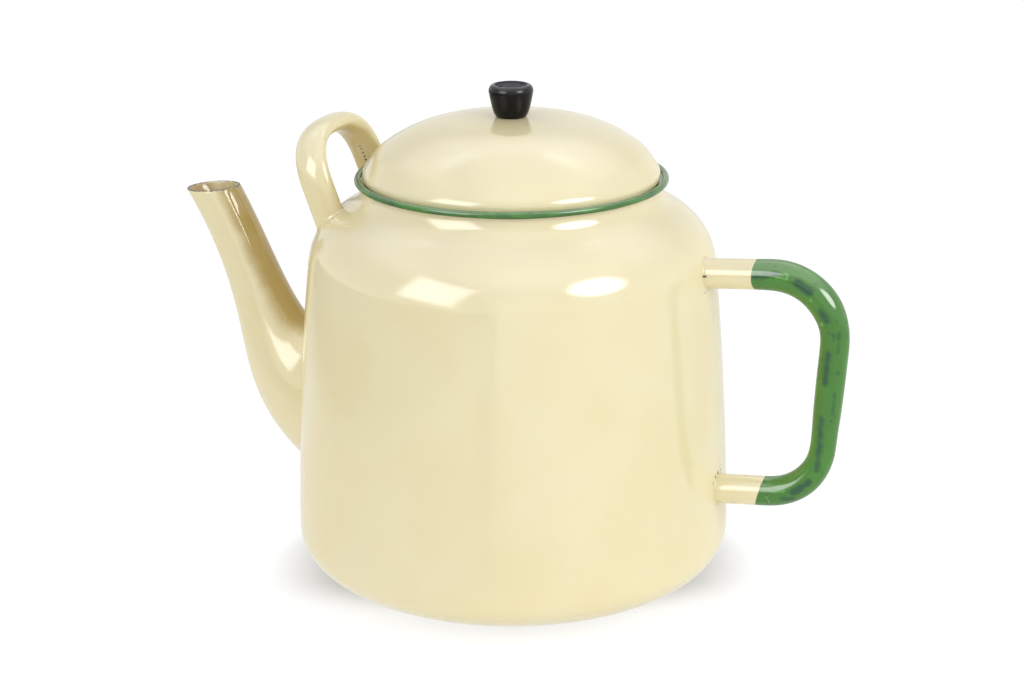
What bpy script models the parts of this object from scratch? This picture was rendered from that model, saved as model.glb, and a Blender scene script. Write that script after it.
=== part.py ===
"""Enamelled steel teapot of catering size, with a lift-off lid.

The pot stands on its flat base at the world origin, +Z up. The grip handle
points along +X and the spout along -X. The helper handle is the small loop on
the shoulder above the spout. All lengths are in metres.
"""

from math import acos, cos, pi, radians, sin, sqrt, tan

import bmesh
import bpy
import numpy as np
from mathutils import Vector

MM = 0.001

# Gap between pieces that touch on the real pot, and how far a cutter overshoots.
FIT_GAP = 0.3 * MM
OVERRUN = 6.0 * MM

# Edges that turn by less than this, in degrees, are shaded smooth.
SMOOTH_BELOW = 35.0

# Pot body: sheet steel drawn to a round pail with a closed-in shoulder. The
# wall tapers and bows outwards a little between the base and the shoulder.
SHEET = 1.3 * MM
FOOT_RADIUS = 61.2 * MM
BODY_RADIUS = 115.0 * MM
BASE_CORNER_HEIGHT = 29.7 * MM
SHOULDER_RADIUS = 107.0 * MM
SHOULDER_HEIGHT = 174.7 * MM
WALL_BOW = 1.4 * MM
SHOULDER_DEPTH = 57.6 * MM
SHOULDER_RISE = 38.6 * MM
NECK_RADIUS = 77.9 * MM
NECK_BLEND = 9.5 * MM
NECK_TOP = 217.8 * MM
NECK_FLARE = 0.4 * MM
BODY_SIDES = 48

# Holes punched in the wall behind the spout, which hold back the leaves.
STRAINER_HOLE = 5.0 * MM
STRAINER_PITCH = 9.0 * MM
STRAINER_WIDTH = 38.0 * MM
STRAINER_HEIGHT = 50.0 * MM
STRAINER_SIDES = 8

# Wired edge of the mouth.
BEAD_WIDTH = 3.1 * MM
BEAD_HEIGHT = 3.4 * MM
BEAD_SIDES = 8

# Spout: a tapered tube along a curve that leaves the wall and rises to the lip.
# The first place lies inside the wall, and the tube is trimmed to the wall.
SPOUT_SHEET = 1.3 * MM
SPOUT_ROOT_REACH = 96.0 * MM
SPOUT_ROOT_HEIGHT = 90.6 * MM
SPOUT_BELLY_REACH = 144.5 * MM
SPOUT_BELLY_HEIGHT = 97.9 * MM
SPOUT_THROAT_REACH = 136.1 * MM
SPOUT_THROAT_HEIGHT = 139.6 * MM
SPOUT_LIP_REACH = 172.0 * MM
SPOUT_LIP_HEIGHT = 200.1 * MM
SPOUT_LIP_RADIUS = 13.3 * MM
SPOUT_ROOT_RADIUS = 49.8 * MM
SPOUT_ROOT_HALF_WIDTH = 32.0 * MM
SPOUT_TAPER_POWER = 2.6
SPOUT_LIP_SLOPE = 4.5
SPOUT_LIP_TURN_SHARE = 0.6
SPOUT_SIDES = 20
SPOUT_RINGS = 18

# Grip handle: one bent tube, its middle coated green and its two roots cream.
# The tube is drawn thinner from where the green coat starts.
HANDLE_TUBE = 16.5 * MM
HANDLE_GRIP_TUBE = 15.4 * MM
HANDLE_SHEET = 1.3 * MM
HANDLE_TOP_HEIGHT = 176.5 * MM
HANDLE_TOP_RISE = 3.9
HANDLE_LOW_HEIGHT = 60.4 * MM
HANDLE_LOW_RISE = 3.5
HANDLE_GRIP_REACH = 172.8 * MM
HANDLE_GRIP_HEIGHT = 134.0 * MM
HANDLE_GRIP_LEAN = 4.5
HANDLE_TOP_BEND = 31.5 * MM
HANDLE_LOW_BEND = 31.0 * MM
HANDLE_GRIP_BOW = 0.6 * MM
HANDLE_THINNING_LENGTH = 42.0 * MM
HANDLE_ROOT_SWELL = 1.0 * MM
HANDLE_ROOT_LENGTH = 3.0 * MM
HANDLE_GREEN_REACH = 131.0 * MM
HANDLE_SIDES = 14
HANDLE_BEND_STEPS = 7

# Helper handle: a flattened tube bent to an arch across the spout's direction.
HELPER_REACH = 89.2 * MM
HELPER_REACH_HEIGHT = 200.0 * MM
HELPER_LEAN = 20.4
HELPER_HALF_SPAN = 34.6 * MM
HELPER_SPRING_HEIGHT = 213.7 * MM
HELPER_RISE = 25.4 * MM
HELPER_POWER = 2.6
HELPER_WIDTH = 17.6 * MM
HELPER_THICKNESS = 10.2 * MM
HELPER_SHEET = 1.3 * MM
HELPER_ROOT_SWELL = 1.2 * MM
HELPER_ROOT_LENGTH = 5.0 * MM
HELPER_SIDES = 14
HELPER_RINGS = 16
HELPER_LEG_SHARES = (1.0, 0.7, 0.4, 0.2)

# Lid: a domed sheet whose foot is rolled, with a locating collar inside.
LID_SHEET = 1.2 * MM
LID_TOP = 251.3 * MM
LID_DROP = 17.6 * MM
LID_WAIST_RADIUS = 69.7 * MM
LID_POWER = 3.2
LID_SHOULDER_HEIGHT = 228.8 * MM
LID_FOOT_RADIUS = 77.4 * MM
LID_FOOT_HEIGHT = 223.5 * MM
LID_HEM_RADIUS = 77.1 * MM
LID_STUD_HOLE = 5.0 * MM
COLLAR_RADIUS = 75.0 * MM
COLLAR_SHEET = 1.0 * MM
COLLAR_DEPTH = 17.0 * MM
COLLAR_HEM = 1.6 * MM

# Knob, moulded, held by a screw and a washer from inside the lid.
KNOB_HEIGHT = 16.6 * MM
KNOB_RADIUS = 11.6 * MM
KNOB_FOOT_RADIUS = 8.2 * MM
KNOB_EDGE = 2.4 * MM
KNOB_DISC_RADIUS = 8.6 * MM
KNOB_DISC_DEPTH = 0.5 * MM
KNOB_WIDE_DROP = 3.4 * MM
KNOB_SWELL_POWER = 0.5
KNOB_BORE = 4.6 * MM
KNOB_BORE_DEPTH = 10.5 * MM
KNOB_PIN_HOLE = 1.6 * MM
KNOB_PIN_DEPTH = 3.0 * MM
KNOB_PIN_SPACING = 12.8 * MM
KNOB_PIN_TURN = 54.0
KNOB_SIDES = 24
SCREW_THREAD = 4.0 * MM
SCREW_TIP_CLEARANCE = 0.8 * MM
SCREW_HEAD = 7.6 * MM
SCREW_HEAD_HEIGHT = 2.6 * MM
SCREW_SLOT = 1.1 * MM
SCREW_SLOT_DEPTH = 1.2 * MM
WASHER = 13.0 * MM
WASHER_THICKNESS = 0.9 * MM
SCREW_SIDES = 20

CREAM = (0.80, 0.69, 0.43)
GREEN = (0.035, 0.20, 0.055)
BLACK = (0.012, 0.012, 0.013)
STEEL = (0.55, 0.55, 0.54)


def clear_scene():
    """Empty the scene, so that the model is all it holds."""
    for item in list(bpy.data.objects):
        bpy.data.objects.remove(item, do_unlink=True)


def material(name, colour, roughness, metallic=0.0):
    """A Principled material of one colour."""
    made = bpy.data.materials.new(name)
    made.use_nodes = True
    shader = made.node_tree.nodes["Principled BSDF"]
    shader.inputs["Base Color"].default_value = (*colour, 1.0)
    shader.inputs["Roughness"].default_value = roughness
    shader.inputs["Metallic"].default_value = metallic
    return made


def cream_enamel():
    """The glossy cream coat of the pot, spout, handles' roots and lid."""
    return material("cream_enamel", CREAM, 0.12)


def green_enamel():
    """The glossy green coat of the mouth's edge and the grip."""
    return material("green_enamel", GREEN, 0.14)


def black_moulding():
    """The phenolic moulding of the knob."""
    return material("black_moulding", BLACK, 0.3)


def plated_steel():
    """The plated fasteners inside the lid."""
    return material("plated_steel", STEEL, 0.35, 1.0)


def add_object(name, mesh, coats):
    """Link a mesh to the scene under its name, shaded smooth."""
    made = bpy.data.objects.new(name, mesh)
    for coat in coats:
        mesh.materials.append(coat)
    bpy.context.scene.collection.objects.link(made)
    mesh.shade_smooth()
    mesh.set_sharp_from_angle(angle=radians(SMOOTH_BELOW))
    return made


def arc(centre, radii, start, end, steps):
    """Points of an ellipse from one angle to another, in degrees."""
    angles = np.radians(np.linspace(start, end, steps + 1))
    across = centre[0] + radii[0] * np.cos(angles)
    up = centre[1] + radii[1] * np.sin(angles)
    return list(zip(across, up))


def bezier(places, steps):
    """Points of a quadratic or cubic curve through its end places."""
    points = np.array(places)
    share = np.linspace(0.0, 1.0, steps + 1)[:, None]
    while len(points) > 1:
        points = [a + (b - a) * share for a, b in zip(points[:-1], points[1:])]
    return [tuple(point) for point in points[0]]


def turned(name, outline, sides, coats):
    """Turn a closed outline of (radius, height) pairs about the Z axis."""
    work = bmesh.new()
    points = [work.verts.new((radius, 0.0, height)) for radius, height in outline]
    edges = []
    for first, second in zip(points, points[1:] + points[:1]):
        on_axis = first.co.x == 0.0 and second.co.x == 0.0
        if not on_axis:
            edges.append(work.edges.new((first, second)))
    bmesh.ops.spin(work, geom=points + edges, cent=(0, 0, 0), axis=(0, 0, 1),
                   angle=2.0 * pi, steps=sides, use_merge=True)
    bmesh.ops.remove_doubles(work, verts=work.verts, dist=FIT_GAP * 0.01)
    bmesh.ops.recalc_face_normals(work, faces=work.faces)
    mesh = bpy.data.meshes.new(name)
    work.to_mesh(mesh)
    work.free()
    return add_object(name, mesh, coats)


def lofted_tube(name, outer, inner, coats):
    """Join two stacks of rings into one open tube with a wall.

    Both stacks are arrays of rings by sides by three; the tube's ends are
    closed between the outer and the inner ring only.
    """
    rings, sides = outer.shape[:2]
    loops = [list(outer[ring]) for ring in range(rings)]
    loops += [list(inner[ring]) for ring in reversed(range(rings))]
    work = bmesh.new()
    placed = [[work.verts.new(point) for point in loop] for loop in loops]
    for first, second in zip(placed, placed[1:] + placed[:1]):
        for side in range(sides):
            follow = (side + 1) % sides
            work.faces.new((first[side], first[follow], second[follow], second[side]))
    bmesh.ops.recalc_face_normals(work, faces=work.faces)
    mesh = bpy.data.meshes.new(name)
    work.to_mesh(mesh)
    work.free()
    return add_object(name, mesh, coats)


def cut(target, cutter):
    """Subtract the cutter from the target and leave the cutter as a guide."""
    cutter.hide_render = True
    cutter.display_type = "WIRE"
    boolean = target.modifiers.new("cut_" + cutter.name, "BOOLEAN")
    boolean.operation = "DIFFERENCE"
    boolean.solver = "EXACT"
    boolean.object = cutter


def body_side(inset):
    """The wall from the base's edge up to the neck, moved inwards by inset."""
    corner = arc((FOOT_RADIUS, BASE_CORNER_HEIGHT),
                 (BODY_RADIUS - FOOT_RADIUS - inset, BASE_CORNER_HEIGHT - inset), -90, 0, 7)
    heights = np.linspace(BASE_CORNER_HEIGHT, SHOULDER_HEIGHT, 6)[1:-1]
    wall = [(wall_radius(height) - inset, height) for height in heights]
    centre = SHOULDER_RADIUS - SHOULDER_DEPTH
    across, up = SHOULDER_DEPTH - inset, SHOULDER_RISE - inset
    neck = NECK_RADIUS - inset
    blend_angle = acos((neck + NECK_BLEND - centre) / across)
    shoulder = arc((centre, SHOULDER_HEIGHT), (across, up), 0, np.degrees(blend_angle), 6)
    start = shoulder[-1]
    slope = up / (across * tan(blend_angle))
    meeting = (neck, start[1] + slope * NECK_BLEND)
    blend = bezier([start, meeting, (neck, NECK_TOP)], 4)
    return corner + wall + shoulder[:-1] + blend


def mouth_flare(inset):
    """The outward turn at the top of the neck."""
    centre = (NECK_RADIUS + NECK_FLARE, NECK_TOP)
    radius = NECK_FLARE + inset
    return arc(centre, (radius, radius), 180, 90, 4)


def wall_radius(height):
    """Outer radius of the tapered, bowed wall at a height below the shoulder."""
    rise = SHOULDER_HEIGHT - BASE_CORNER_HEIGHT
    share = (height - BASE_CORNER_HEIGHT) / rise
    taper = (SHOULDER_RADIUS - BODY_RADIUS) * share
    return BODY_RADIUS + taper + WALL_BOW * 4.0 * share * (1.0 - share)


def trim_form():
    """The pot's outer form, larger by the fit gap, that trims what meets it."""
    side = body_side(-FIT_GAP)
    outline = [(0.0, 0.0)] + side + [(0.0, side[-1][1])]
    return turned("trim_form", outline, BODY_SIDES, [])


def strainer_cutter():
    """Round pins that punch the strainer holes through the wall."""
    work = bmesh.new()
    row_pitch = STRAINER_PITCH * sqrt(3.0) / 2.0
    rows = int(STRAINER_HEIGHT / row_pitch)
    columns = int(STRAINER_WIDTH / STRAINER_PITCH)
    length = SHEET + 2.0 * OVERRUN
    turn = Vector((0, 0, 1)).rotation_difference(Vector((1, 0, 0))).to_matrix().to_4x4()
    for row in range(-rows, rows + 1):
        for column in range(-columns, columns + 1):
            rise = row * row_pitch
            side = (column + 0.5 * (row % 2)) * STRAINER_PITCH
            if (side / STRAINER_WIDTH) ** 2 + (rise / STRAINER_HEIGHT) ** 2 > 0.25:
                continue
            height = SPOUT_ROOT_HEIGHT + rise
            radius = wall_radius(height) - SHEET / 2.0
            across = sqrt(radius ** 2 - side ** 2)
            made = bmesh.ops.create_cone(
                work, cap_ends=True, segments=STRAINER_SIDES, depth=length,
                radius1=STRAINER_HOLE / 2.0, radius2=STRAINER_HOLE / 2.0)
            place = turn.copy()
            place.translation = (-across, side, height)
            bmesh.ops.transform(work, matrix=place, verts=made["verts"])
    bmesh.ops.recalc_face_normals(work, faces=work.faces)
    mesh = bpy.data.meshes.new("strainer_cutter")
    work.to_mesh(mesh)
    work.free()
    return add_object("strainer_cutter", mesh, [])


def body_shell(coat):
    """Base, wall, shoulder and neck, drawn from one sheet."""
    outer = body_side(0.0) + mouth_flare(0.0)[1:]
    inner = body_side(SHEET) + mouth_flare(SHEET)[1:]
    outline = [(0.0, 0.0)] + outer + inner[::-1] + [(0.0, SHEET)]
    shell = turned("body_shell", outline, BODY_SIDES, [coat])
    cut(shell, strainer_cutter())
    return shell


def bead_middle():
    """Radius and height of the middle of the mouth's bead."""
    radius = NECK_RADIUS + NECK_FLARE + FIT_GAP + BEAD_WIDTH / 2.0
    height = NECK_TOP + NECK_FLARE + SHEET / 2.0
    return radius, height


def mouth_bead(coat):
    """The wired edge round the mouth, against the end of the flare."""
    outline = arc(bead_middle(), (BEAD_WIDTH / 2.0, BEAD_HEIGHT / 2.0), 0, 360, BEAD_SIDES)
    return turned("mouth_bead", outline[:-1], BODY_SIDES, [coat])


def smooth_step(value):
    """Rise from 0 to 1 with level ends."""
    held = np.clip(value, 0.0, 1.0)
    return held * held * (3.0 - 2.0 * held)


def spout_rings(inset):
    """Rings of the spout's tube, whose last ones turn to lie with the lip."""
    places = [(-SPOUT_ROOT_REACH, SPOUT_ROOT_HEIGHT),
              (-SPOUT_BELLY_REACH, SPOUT_BELLY_HEIGHT),
              (-SPOUT_THROAT_REACH, SPOUT_THROAT_HEIGHT),
              (-SPOUT_LIP_REACH, SPOUT_LIP_HEIGHT)]
    path = np.array(bezier(places, SPOUT_RINGS))
    way = np.gradient(path, axis=0)
    way /= np.linalg.norm(way, axis=1)[:, None]
    share = np.linspace(0.0, 1.0, SPOUT_RINGS + 1)
    taper = (1.0 - share) ** SPOUT_TAPER_POWER
    deep = SPOUT_LIP_RADIUS + (SPOUT_ROOT_RADIUS - SPOUT_LIP_RADIUS) * taper - inset
    wide = SPOUT_LIP_RADIUS + (SPOUT_ROOT_HALF_WIDTH - SPOUT_LIP_RADIUS) * taper - inset
    square = np.arctan2(way[:, 0], -way[:, 1])
    level = radians(180.0 + SPOUT_LIP_SLOPE)
    square = np.where(square < 0.0, square + 2.0 * pi, square)
    turn = smooth_step((share - SPOUT_LIP_TURN_SHARE) / (1.0 - SPOUT_LIP_TURN_SHARE))
    lean = square + (level - square) * turn
    deep = deep / np.cos(lean - square)
    across = np.stack([np.cos(lean), np.sin(lean)], axis=1)
    angles = np.linspace(0.0, 2.0 * pi, SPOUT_SIDES, endpoint=False)
    in_plane = deep[:, None] * np.cos(angles)
    rings = np.empty((len(path), SPOUT_SIDES, 3))
    rings[:, :, 0] = path[:, :1] + across[:, :1] * in_plane
    rings[:, :, 1] = wide[:, None] * np.sin(angles)
    rings[:, :, 2] = path[:, 1:] + across[:, 1:] * in_plane
    return rings


def spout(coat, trim):
    """The pouring tube, trimmed where it meets the wall."""
    tube = lofted_tube("spout", spout_rings(0.0), spout_rings(SPOUT_SHEET), [coat])
    cut(tube, trim)
    return tube


def filleted(corners, radii, steps):
    """A path through corners, each rounded by an arc of its own radius."""
    points = [np.array(corners[0])]
    for before, corner, after, radius in zip(corners, corners[1:], corners[2:], radii):
        corner = np.array(corner)
        back = np.array(before) - corner
        ahead = np.array(after) - corner
        back /= np.linalg.norm(back)
        ahead /= np.linalg.norm(ahead)
        half = acos(float(np.clip(back @ ahead, -1.0, 1.0))) / 2.0
        start = corner + back * radius / tan(half)
        centre = corner + (back + ahead) / np.linalg.norm(back + ahead) * radius / sin(half)
        first = start - centre
        side = back * -1.0
        sweep = pi - 2.0 * half
        for angle in np.linspace(0.0, sweep, steps + 1):
            points.append(centre + first * cos(angle) + side * radius * sin(angle))
    points.append(np.array(corners[-1]))
    return np.array(points)


def meeting_point(place_a, angle_a, place_b, angle_b):
    """Where two lines in the XZ plane cross, each a place and an angle."""
    way_a = np.array([cos(angle_a), sin(angle_a)])
    way_b = np.array([cos(angle_b), sin(angle_b)])
    gap = np.array(place_b) - np.array(place_a)
    shares = np.linalg.solve(np.stack([way_a, -way_b], axis=1), gap)
    return tuple(np.array(place_a) + way_a * shares[0])


def handle_path():
    """The grip's middle line in the XZ plane, from the top root to the low one."""
    top_root = (wall_radius(SHOULDER_HEIGHT) - OVERRUN, HANDLE_TOP_HEIGHT)
    low_root = (wall_radius(HANDLE_LOW_HEIGHT) - OVERRUN, HANDLE_LOW_HEIGHT)
    grip = (HANDLE_GRIP_REACH, HANDLE_GRIP_HEIGHT)
    upright = radians(90.0 - HANDLE_GRIP_LEAN)
    top = meeting_point(top_root, radians(HANDLE_TOP_RISE), grip, upright)
    low = meeting_point(low_root, radians(HANDLE_LOW_RISE), grip, upright)
    bends = [HANDLE_TOP_BEND, HANDLE_LOW_BEND]
    path = filleted([top_root, top, low, low_root], bends, HANDLE_BEND_STEPS)
    return add_grip_points(add_root_points(path))


def add_root_points(path):
    """Extra places near both roots, where the tube swells."""
    places = []
    for end, follow in ((path[0], path[1]), (path[-1], path[-2])):
        way = (follow - end) / np.linalg.norm(follow - end)
        steps = [OVERRUN, OVERRUN + HANDLE_ROOT_LENGTH / 2.0, OVERRUN + HANDLE_ROOT_LENGTH]
        places.append([end + way * step for step in steps])
    return np.vstack([path[:1], places[0], path[1:-1], places[1][::-1], path[-1:]])


def add_grip_points(path):
    """Extra places on the grip's long run, which bows outwards a little."""
    steps = np.linalg.norm(np.diff(path, axis=0), axis=1)
    middle = len(path) // 2
    longest = middle - 3 + int(np.argmax(steps[middle - 3:middle + 3]))
    start, end = path[longest], path[longest + 1]
    way = (end - start) / np.linalg.norm(end - start)
    outward = np.array([-way[1], way[0]])
    shares = np.linspace(0.0, 1.0, 7)[1:-1]
    bow = HANDLE_GRIP_BOW * np.sin(pi * shares)
    added = start + (end - start) * shares[:, None] + outward * bow[:, None]
    return np.vstack([path[:longest + 1], added, path[longest + 1:]])


def handle_rings(path, inset):
    """Round rings square to the handle's path, swelling at both roots."""
    way = np.gradient(path, axis=0)
    way /= np.linalg.norm(way, axis=1)[:, None]
    across = np.stack([-way[:, 1], way[:, 0]], axis=1)
    travel = np.concatenate([[0.0], np.cumsum(np.linalg.norm(np.diff(path, axis=0), axis=1))])
    from_root = np.minimum(travel, travel[-1] - travel) - OVERRUN
    swell = HANDLE_ROOT_SWELL * (1.0 - np.clip(from_root / HANDLE_ROOT_LENGTH, 0.0, 1.0)) ** 2
    thinned = smooth_step((path[:, 0] - HANDLE_GREEN_REACH) / HANDLE_THINNING_LENGTH)
    thinning = (HANDLE_TUBE - HANDLE_GRIP_TUBE) / 2.0 * thinned
    radius = HANDLE_TUBE / 2.0 + swell - thinning - inset
    angles = np.linspace(0.0, 2.0 * pi, HANDLE_SIDES, endpoint=False)
    rings = np.empty((len(path), HANDLE_SIDES, 3))
    rings[:, :, 0] = path[:, :1] + across[:, :1] * radius[:, None] * np.cos(angles)
    rings[:, :, 1] = radius[:, None] * np.sin(angles)
    rings[:, :, 2] = path[:, 1:] + across[:, 1:] * radius[:, None] * np.cos(angles)
    return rings


def handle(cream, green, trim):
    """The bent grip tube, green between the places where the coats meet."""
    path = handle_path()
    outer = handle_rings(path, 0.0)
    inner = handle_rings(path, HANDLE_SHEET)
    tube = lofted_tube("handle", outer, inner, [cream, green])
    for face in tube.data.polygons:
        face.material_index = int(face.center.x > HANDLE_GREEN_REACH)
    cut(tube, trim)
    return tube


def helper_path():
    """The arch's middle line and its leaning frame."""
    angles = np.linspace(0.0, pi, HELPER_RINGS + 1)
    power = 2.0 / HELPER_POWER
    side = HELPER_HALF_SPAN * np.sign(np.cos(angles)) * np.abs(np.cos(angles)) ** power
    height = HELPER_SPRING_HEIGHT + HELPER_RISE * np.sin(angles) ** power
    leg_shares = np.array(HELPER_LEG_SHARES)
    leg_length = HELPER_SPRING_HEIGHT - SHOULDER_HEIGHT
    legs = HELPER_SPRING_HEIGHT - leg_length * leg_shares
    leg_side = np.full(len(legs), HELPER_HALF_SPAN)
    side = np.concatenate([leg_side, side, -leg_side])
    height = np.concatenate([legs, height, legs[::-1]])
    out = HELPER_REACH + (height - HELPER_REACH_HEIGHT) * tan(radians(HELPER_LEAN))
    return np.stack([-out, side, height], axis=1)


def helper_rings(path, inset):
    """Oval rings square to the arch, broad across its plane."""
    way = np.gradient(path, axis=0)
    way /= np.linalg.norm(way, axis=1)[:, None]
    lean = radians(HELPER_LEAN)
    broad = np.array([cos(lean), 0.0, sin(lean)])
    thin = np.cross(way, broad)
    foot = path[:, 2] - shoulder_height_at(np.hypot(path[:, 0], path[:, 1]))
    swell = HELPER_ROOT_SWELL * (1.0 - np.clip(foot / HELPER_ROOT_LENGTH, 0.0, 1.0)) ** 2
    half_width = HELPER_WIDTH / 2.0 + swell - inset
    half_thickness = HELPER_THICKNESS / 2.0 + swell - inset
    angles = np.linspace(0.0, 2.0 * pi, HELPER_SIDES, endpoint=False)
    wide = half_width[:, None, None] * np.cos(angles)[None, :, None] * broad
    deep = half_thickness[:, None, None] * np.sin(angles)[None, :, None] * thin[:, None, :]
    return path[:, None, :] + wide + deep


def shoulder_height_at(radius):
    """Height of the shoulder's outer surface at a distance from the axis."""
    centre = SHOULDER_RADIUS - SHOULDER_DEPTH
    share = np.clip((radius - centre) / SHOULDER_DEPTH, 0.0, 1.0)
    return SHOULDER_HEIGHT + SHOULDER_RISE * np.sqrt(1.0 - share ** 2)


def helper_handle(coat, trim):
    """The loop on the shoulder that steadies a full pot while it pours."""
    path = helper_path()
    outer = helper_rings(path, 0.0)
    inner = helper_rings(path, HELPER_SHEET)
    loop = lofted_tube("helper_handle", outer, inner, [coat])
    cut(loop, trim)
    return loop


def dome_height(radius):
    """Height of the lid's outer surface inside its waist."""
    return LID_TOP - LID_DROP * (radius / LID_WAIST_RADIUS) ** LID_POWER


def seat_height(radius):
    """Height of the flare's upper surface at a radius."""
    across = NECK_RADIUS + NECK_FLARE - radius
    return NECK_TOP + sqrt((NECK_FLARE + SHEET) ** 2 - across ** 2)


def lid_side(inset):
    """The lid's section from the stud hole to the hem, moved inwards by inset."""
    hole = LID_STUD_HOLE / 2.0
    radii = np.linspace(hole, LID_WAIST_RADIUS, 9)
    dome = [(radius, dome_height(radius) - inset) for radius in radii[:-1]]
    waist = (LID_WAIST_RADIUS - inset / 2.0, dome_height(LID_WAIST_RADIUS) - inset)
    shoulder = (LID_FOOT_RADIUS - inset, LID_SHOULDER_HEIGHT - inset / 2.0)
    widest = (LID_FOOT_RADIUS - inset, LID_FOOT_HEIGHT)
    hem_height = seat_height(LID_HEM_RADIUS) + FIT_GAP
    low = (LID_FOOT_RADIUS - inset, (LID_FOOT_HEIGHT + hem_height) / 2.0)
    hem = (LID_HEM_RADIUS - inset, hem_height)
    foot = bezier([waist, shoulder, widest], 4)
    roll = bezier([widest, low, hem], 3)
    return dome + foot + roll[1:]


def lid_shell(coat):
    """The domed lid with its rolled foot."""
    outline = lid_side(0.0) + lid_side(LID_SHEET)[::-1]
    return turned("lid_shell", outline, BODY_SIDES, [coat])


def lid_underside_height(radius):
    """Height of the lid's inner surface at a radius."""
    section = np.array(lid_side(LID_SHEET))
    widest = int(np.argmax(section[:, 0]))
    return float(np.interp(radius, section[:widest, 0], section[:widest, 1]))


def lid_collar(coat):
    """The ring inside the lid that keeps it centred in the neck."""
    top = lid_underside_height(COLLAR_RADIUS) - FIT_GAP
    bottom = NECK_TOP - COLLAR_DEPTH
    inner = COLLAR_RADIUS - COLLAR_SHEET
    outline = [(COLLAR_RADIUS, top), (COLLAR_RADIUS, bottom + COLLAR_HEM),
               (COLLAR_RADIUS - COLLAR_SHEET / 2.0, bottom), (inner - COLLAR_SHEET / 2.0, bottom),
               (inner, bottom + COLLAR_HEM), (inner, top)]
    return turned("lid_collar", outline, BODY_SIDES, [coat])


def knob_base_height():
    """Where the knob's flat foot meets the top of the dome."""
    return LID_TOP + FIT_GAP


def knob(coat):
    """The moulded knob, with its threaded bore and two blind pin holes."""
    foot = knob_base_height()
    top = foot + KNOB_HEIGHT
    wide = top - KNOB_WIDE_DROP
    shares = np.linspace(0.0, 1.0, 7)
    spread = KNOB_RADIUS - KNOB_FOOT_RADIUS
    side = [(KNOB_FOOT_RADIUS + spread * share ** KNOB_SWELL_POWER,
             foot + (wide - foot) * share) for share in shares]
    edge_centre = (KNOB_RADIUS - KNOB_EDGE, wide)
    edge = arc(edge_centre, (KNOB_EDGE, KNOB_WIDE_DROP), 0, 90, 5)
    disc = [(KNOB_DISC_RADIUS, top), (KNOB_DISC_RADIUS - KNOB_DISC_DEPTH, top - KNOB_DISC_DEPTH),
            (0.0, top - KNOB_DISC_DEPTH)]
    bore = KNOB_BORE / 2.0
    hole = [(0.0, foot + KNOB_BORE_DEPTH), (bore, foot + KNOB_BORE_DEPTH), (bore, foot)]
    made = turned("knob", side + edge[1:] + disc + hole, KNOB_SIDES, [coat])
    cut(made, pin_hole_cutter(top))
    return made


def pin_hole_cutter(top):
    """Two pins that sink the blind holes in the knob's top."""
    work = bmesh.new()
    length = KNOB_PIN_DEPTH + OVERRUN
    turn = radians(KNOB_PIN_TURN)
    for way in (-1.0, 1.0):
        made = bmesh.ops.create_cone(
            work, cap_ends=True, segments=STRAINER_SIDES, depth=length,
            radius1=KNOB_PIN_HOLE / 2.0, radius2=KNOB_PIN_HOLE / 2.0)
        reach = way * KNOB_PIN_SPACING / 2.0
        place = Vector((reach * cos(turn), reach * sin(turn), top - KNOB_PIN_DEPTH + length / 2.0))
        bmesh.ops.translate(work, vec=place, verts=made["verts"])
    bmesh.ops.recalc_face_normals(work, faces=work.faces)
    mesh = bpy.data.meshes.new("pin_hole_cutter")
    work.to_mesh(mesh)
    work.free()
    return add_object("pin_hole_cutter", mesh, [])


def washer_top():
    """The flat under the lid's crown that the washer bears on."""
    return dome_height(WASHER / 2.0) - LID_SHEET - FIT_GAP


def knob_washer(coat):
    """The washer between the screw's head and the lid."""
    top = washer_top()
    hole = SCREW_THREAD / 2.0 + FIT_GAP
    rim = WASHER / 2.0
    base = top - WASHER_THICKNESS
    outline = [(hole, top), (hole, base), (rim, base), (rim, top)]
    return turned("knob_washer", outline, SCREW_SIDES, [coat])


def knob_screw(coat):
    """The screw that passes up through the lid into the knob."""
    head_top = washer_top() - WASHER_THICKNESS - FIT_GAP
    head_base = head_top - SCREW_HEAD_HEIGHT
    tip = knob_base_height() + KNOB_BORE_DEPTH - SCREW_TIP_CLEARANCE
    shank = SCREW_THREAD / 2.0
    head = SCREW_HEAD / 2.0
    dome = arc((0.0, head_top), (head, head_top - head_base), 270, 360, 6)
    outline = dome + [(shank, head_top), (shank, tip - shank / 2.0), (shank / 2.0, tip), (0.0, tip)]
    made = turned("knob_screw", outline, SCREW_SIDES, [coat])
    work = bmesh.new()
    bmesh.ops.create_cube(work, size=1.0)
    depth = SCREW_SLOT_DEPTH + OVERRUN
    bmesh.ops.scale(work, vec=(SCREW_HEAD + OVERRUN, SCREW_SLOT, depth), verts=work.verts)
    low = head_base + SCREW_SLOT_DEPTH - depth / 2.0
    bmesh.ops.translate(work, vec=(0.0, 0.0, low), verts=work.verts)
    mesh = bpy.data.meshes.new("slot_cutter")
    work.to_mesh(mesh)
    work.free()
    cut(made, add_object("slot_cutter", mesh, []))
    return made


def build():
    """Make every piece; the lid's pieces hang from an empty on the lift axis."""
    clear_scene()
    cream = cream_enamel()
    green = green_enamel()
    black = black_moulding()
    steel = plated_steel()
    trim = trim_form()
    body_shell(cream)
    mouth_bead(green)
    spout(cream, trim)
    handle(cream, green, trim)
    helper_handle(cream, trim)
    lift = bpy.data.objects.new("lid_lift", None)
    bpy.context.scene.collection.objects.link(lift)
    lid_pieces = [lid_shell(cream), lid_collar(cream)]
    lid_pieces += [knob(black), knob_washer(steel), knob_screw(steel)]
    for piece in lid_pieces:
        piece.parent = lift


build()
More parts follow.
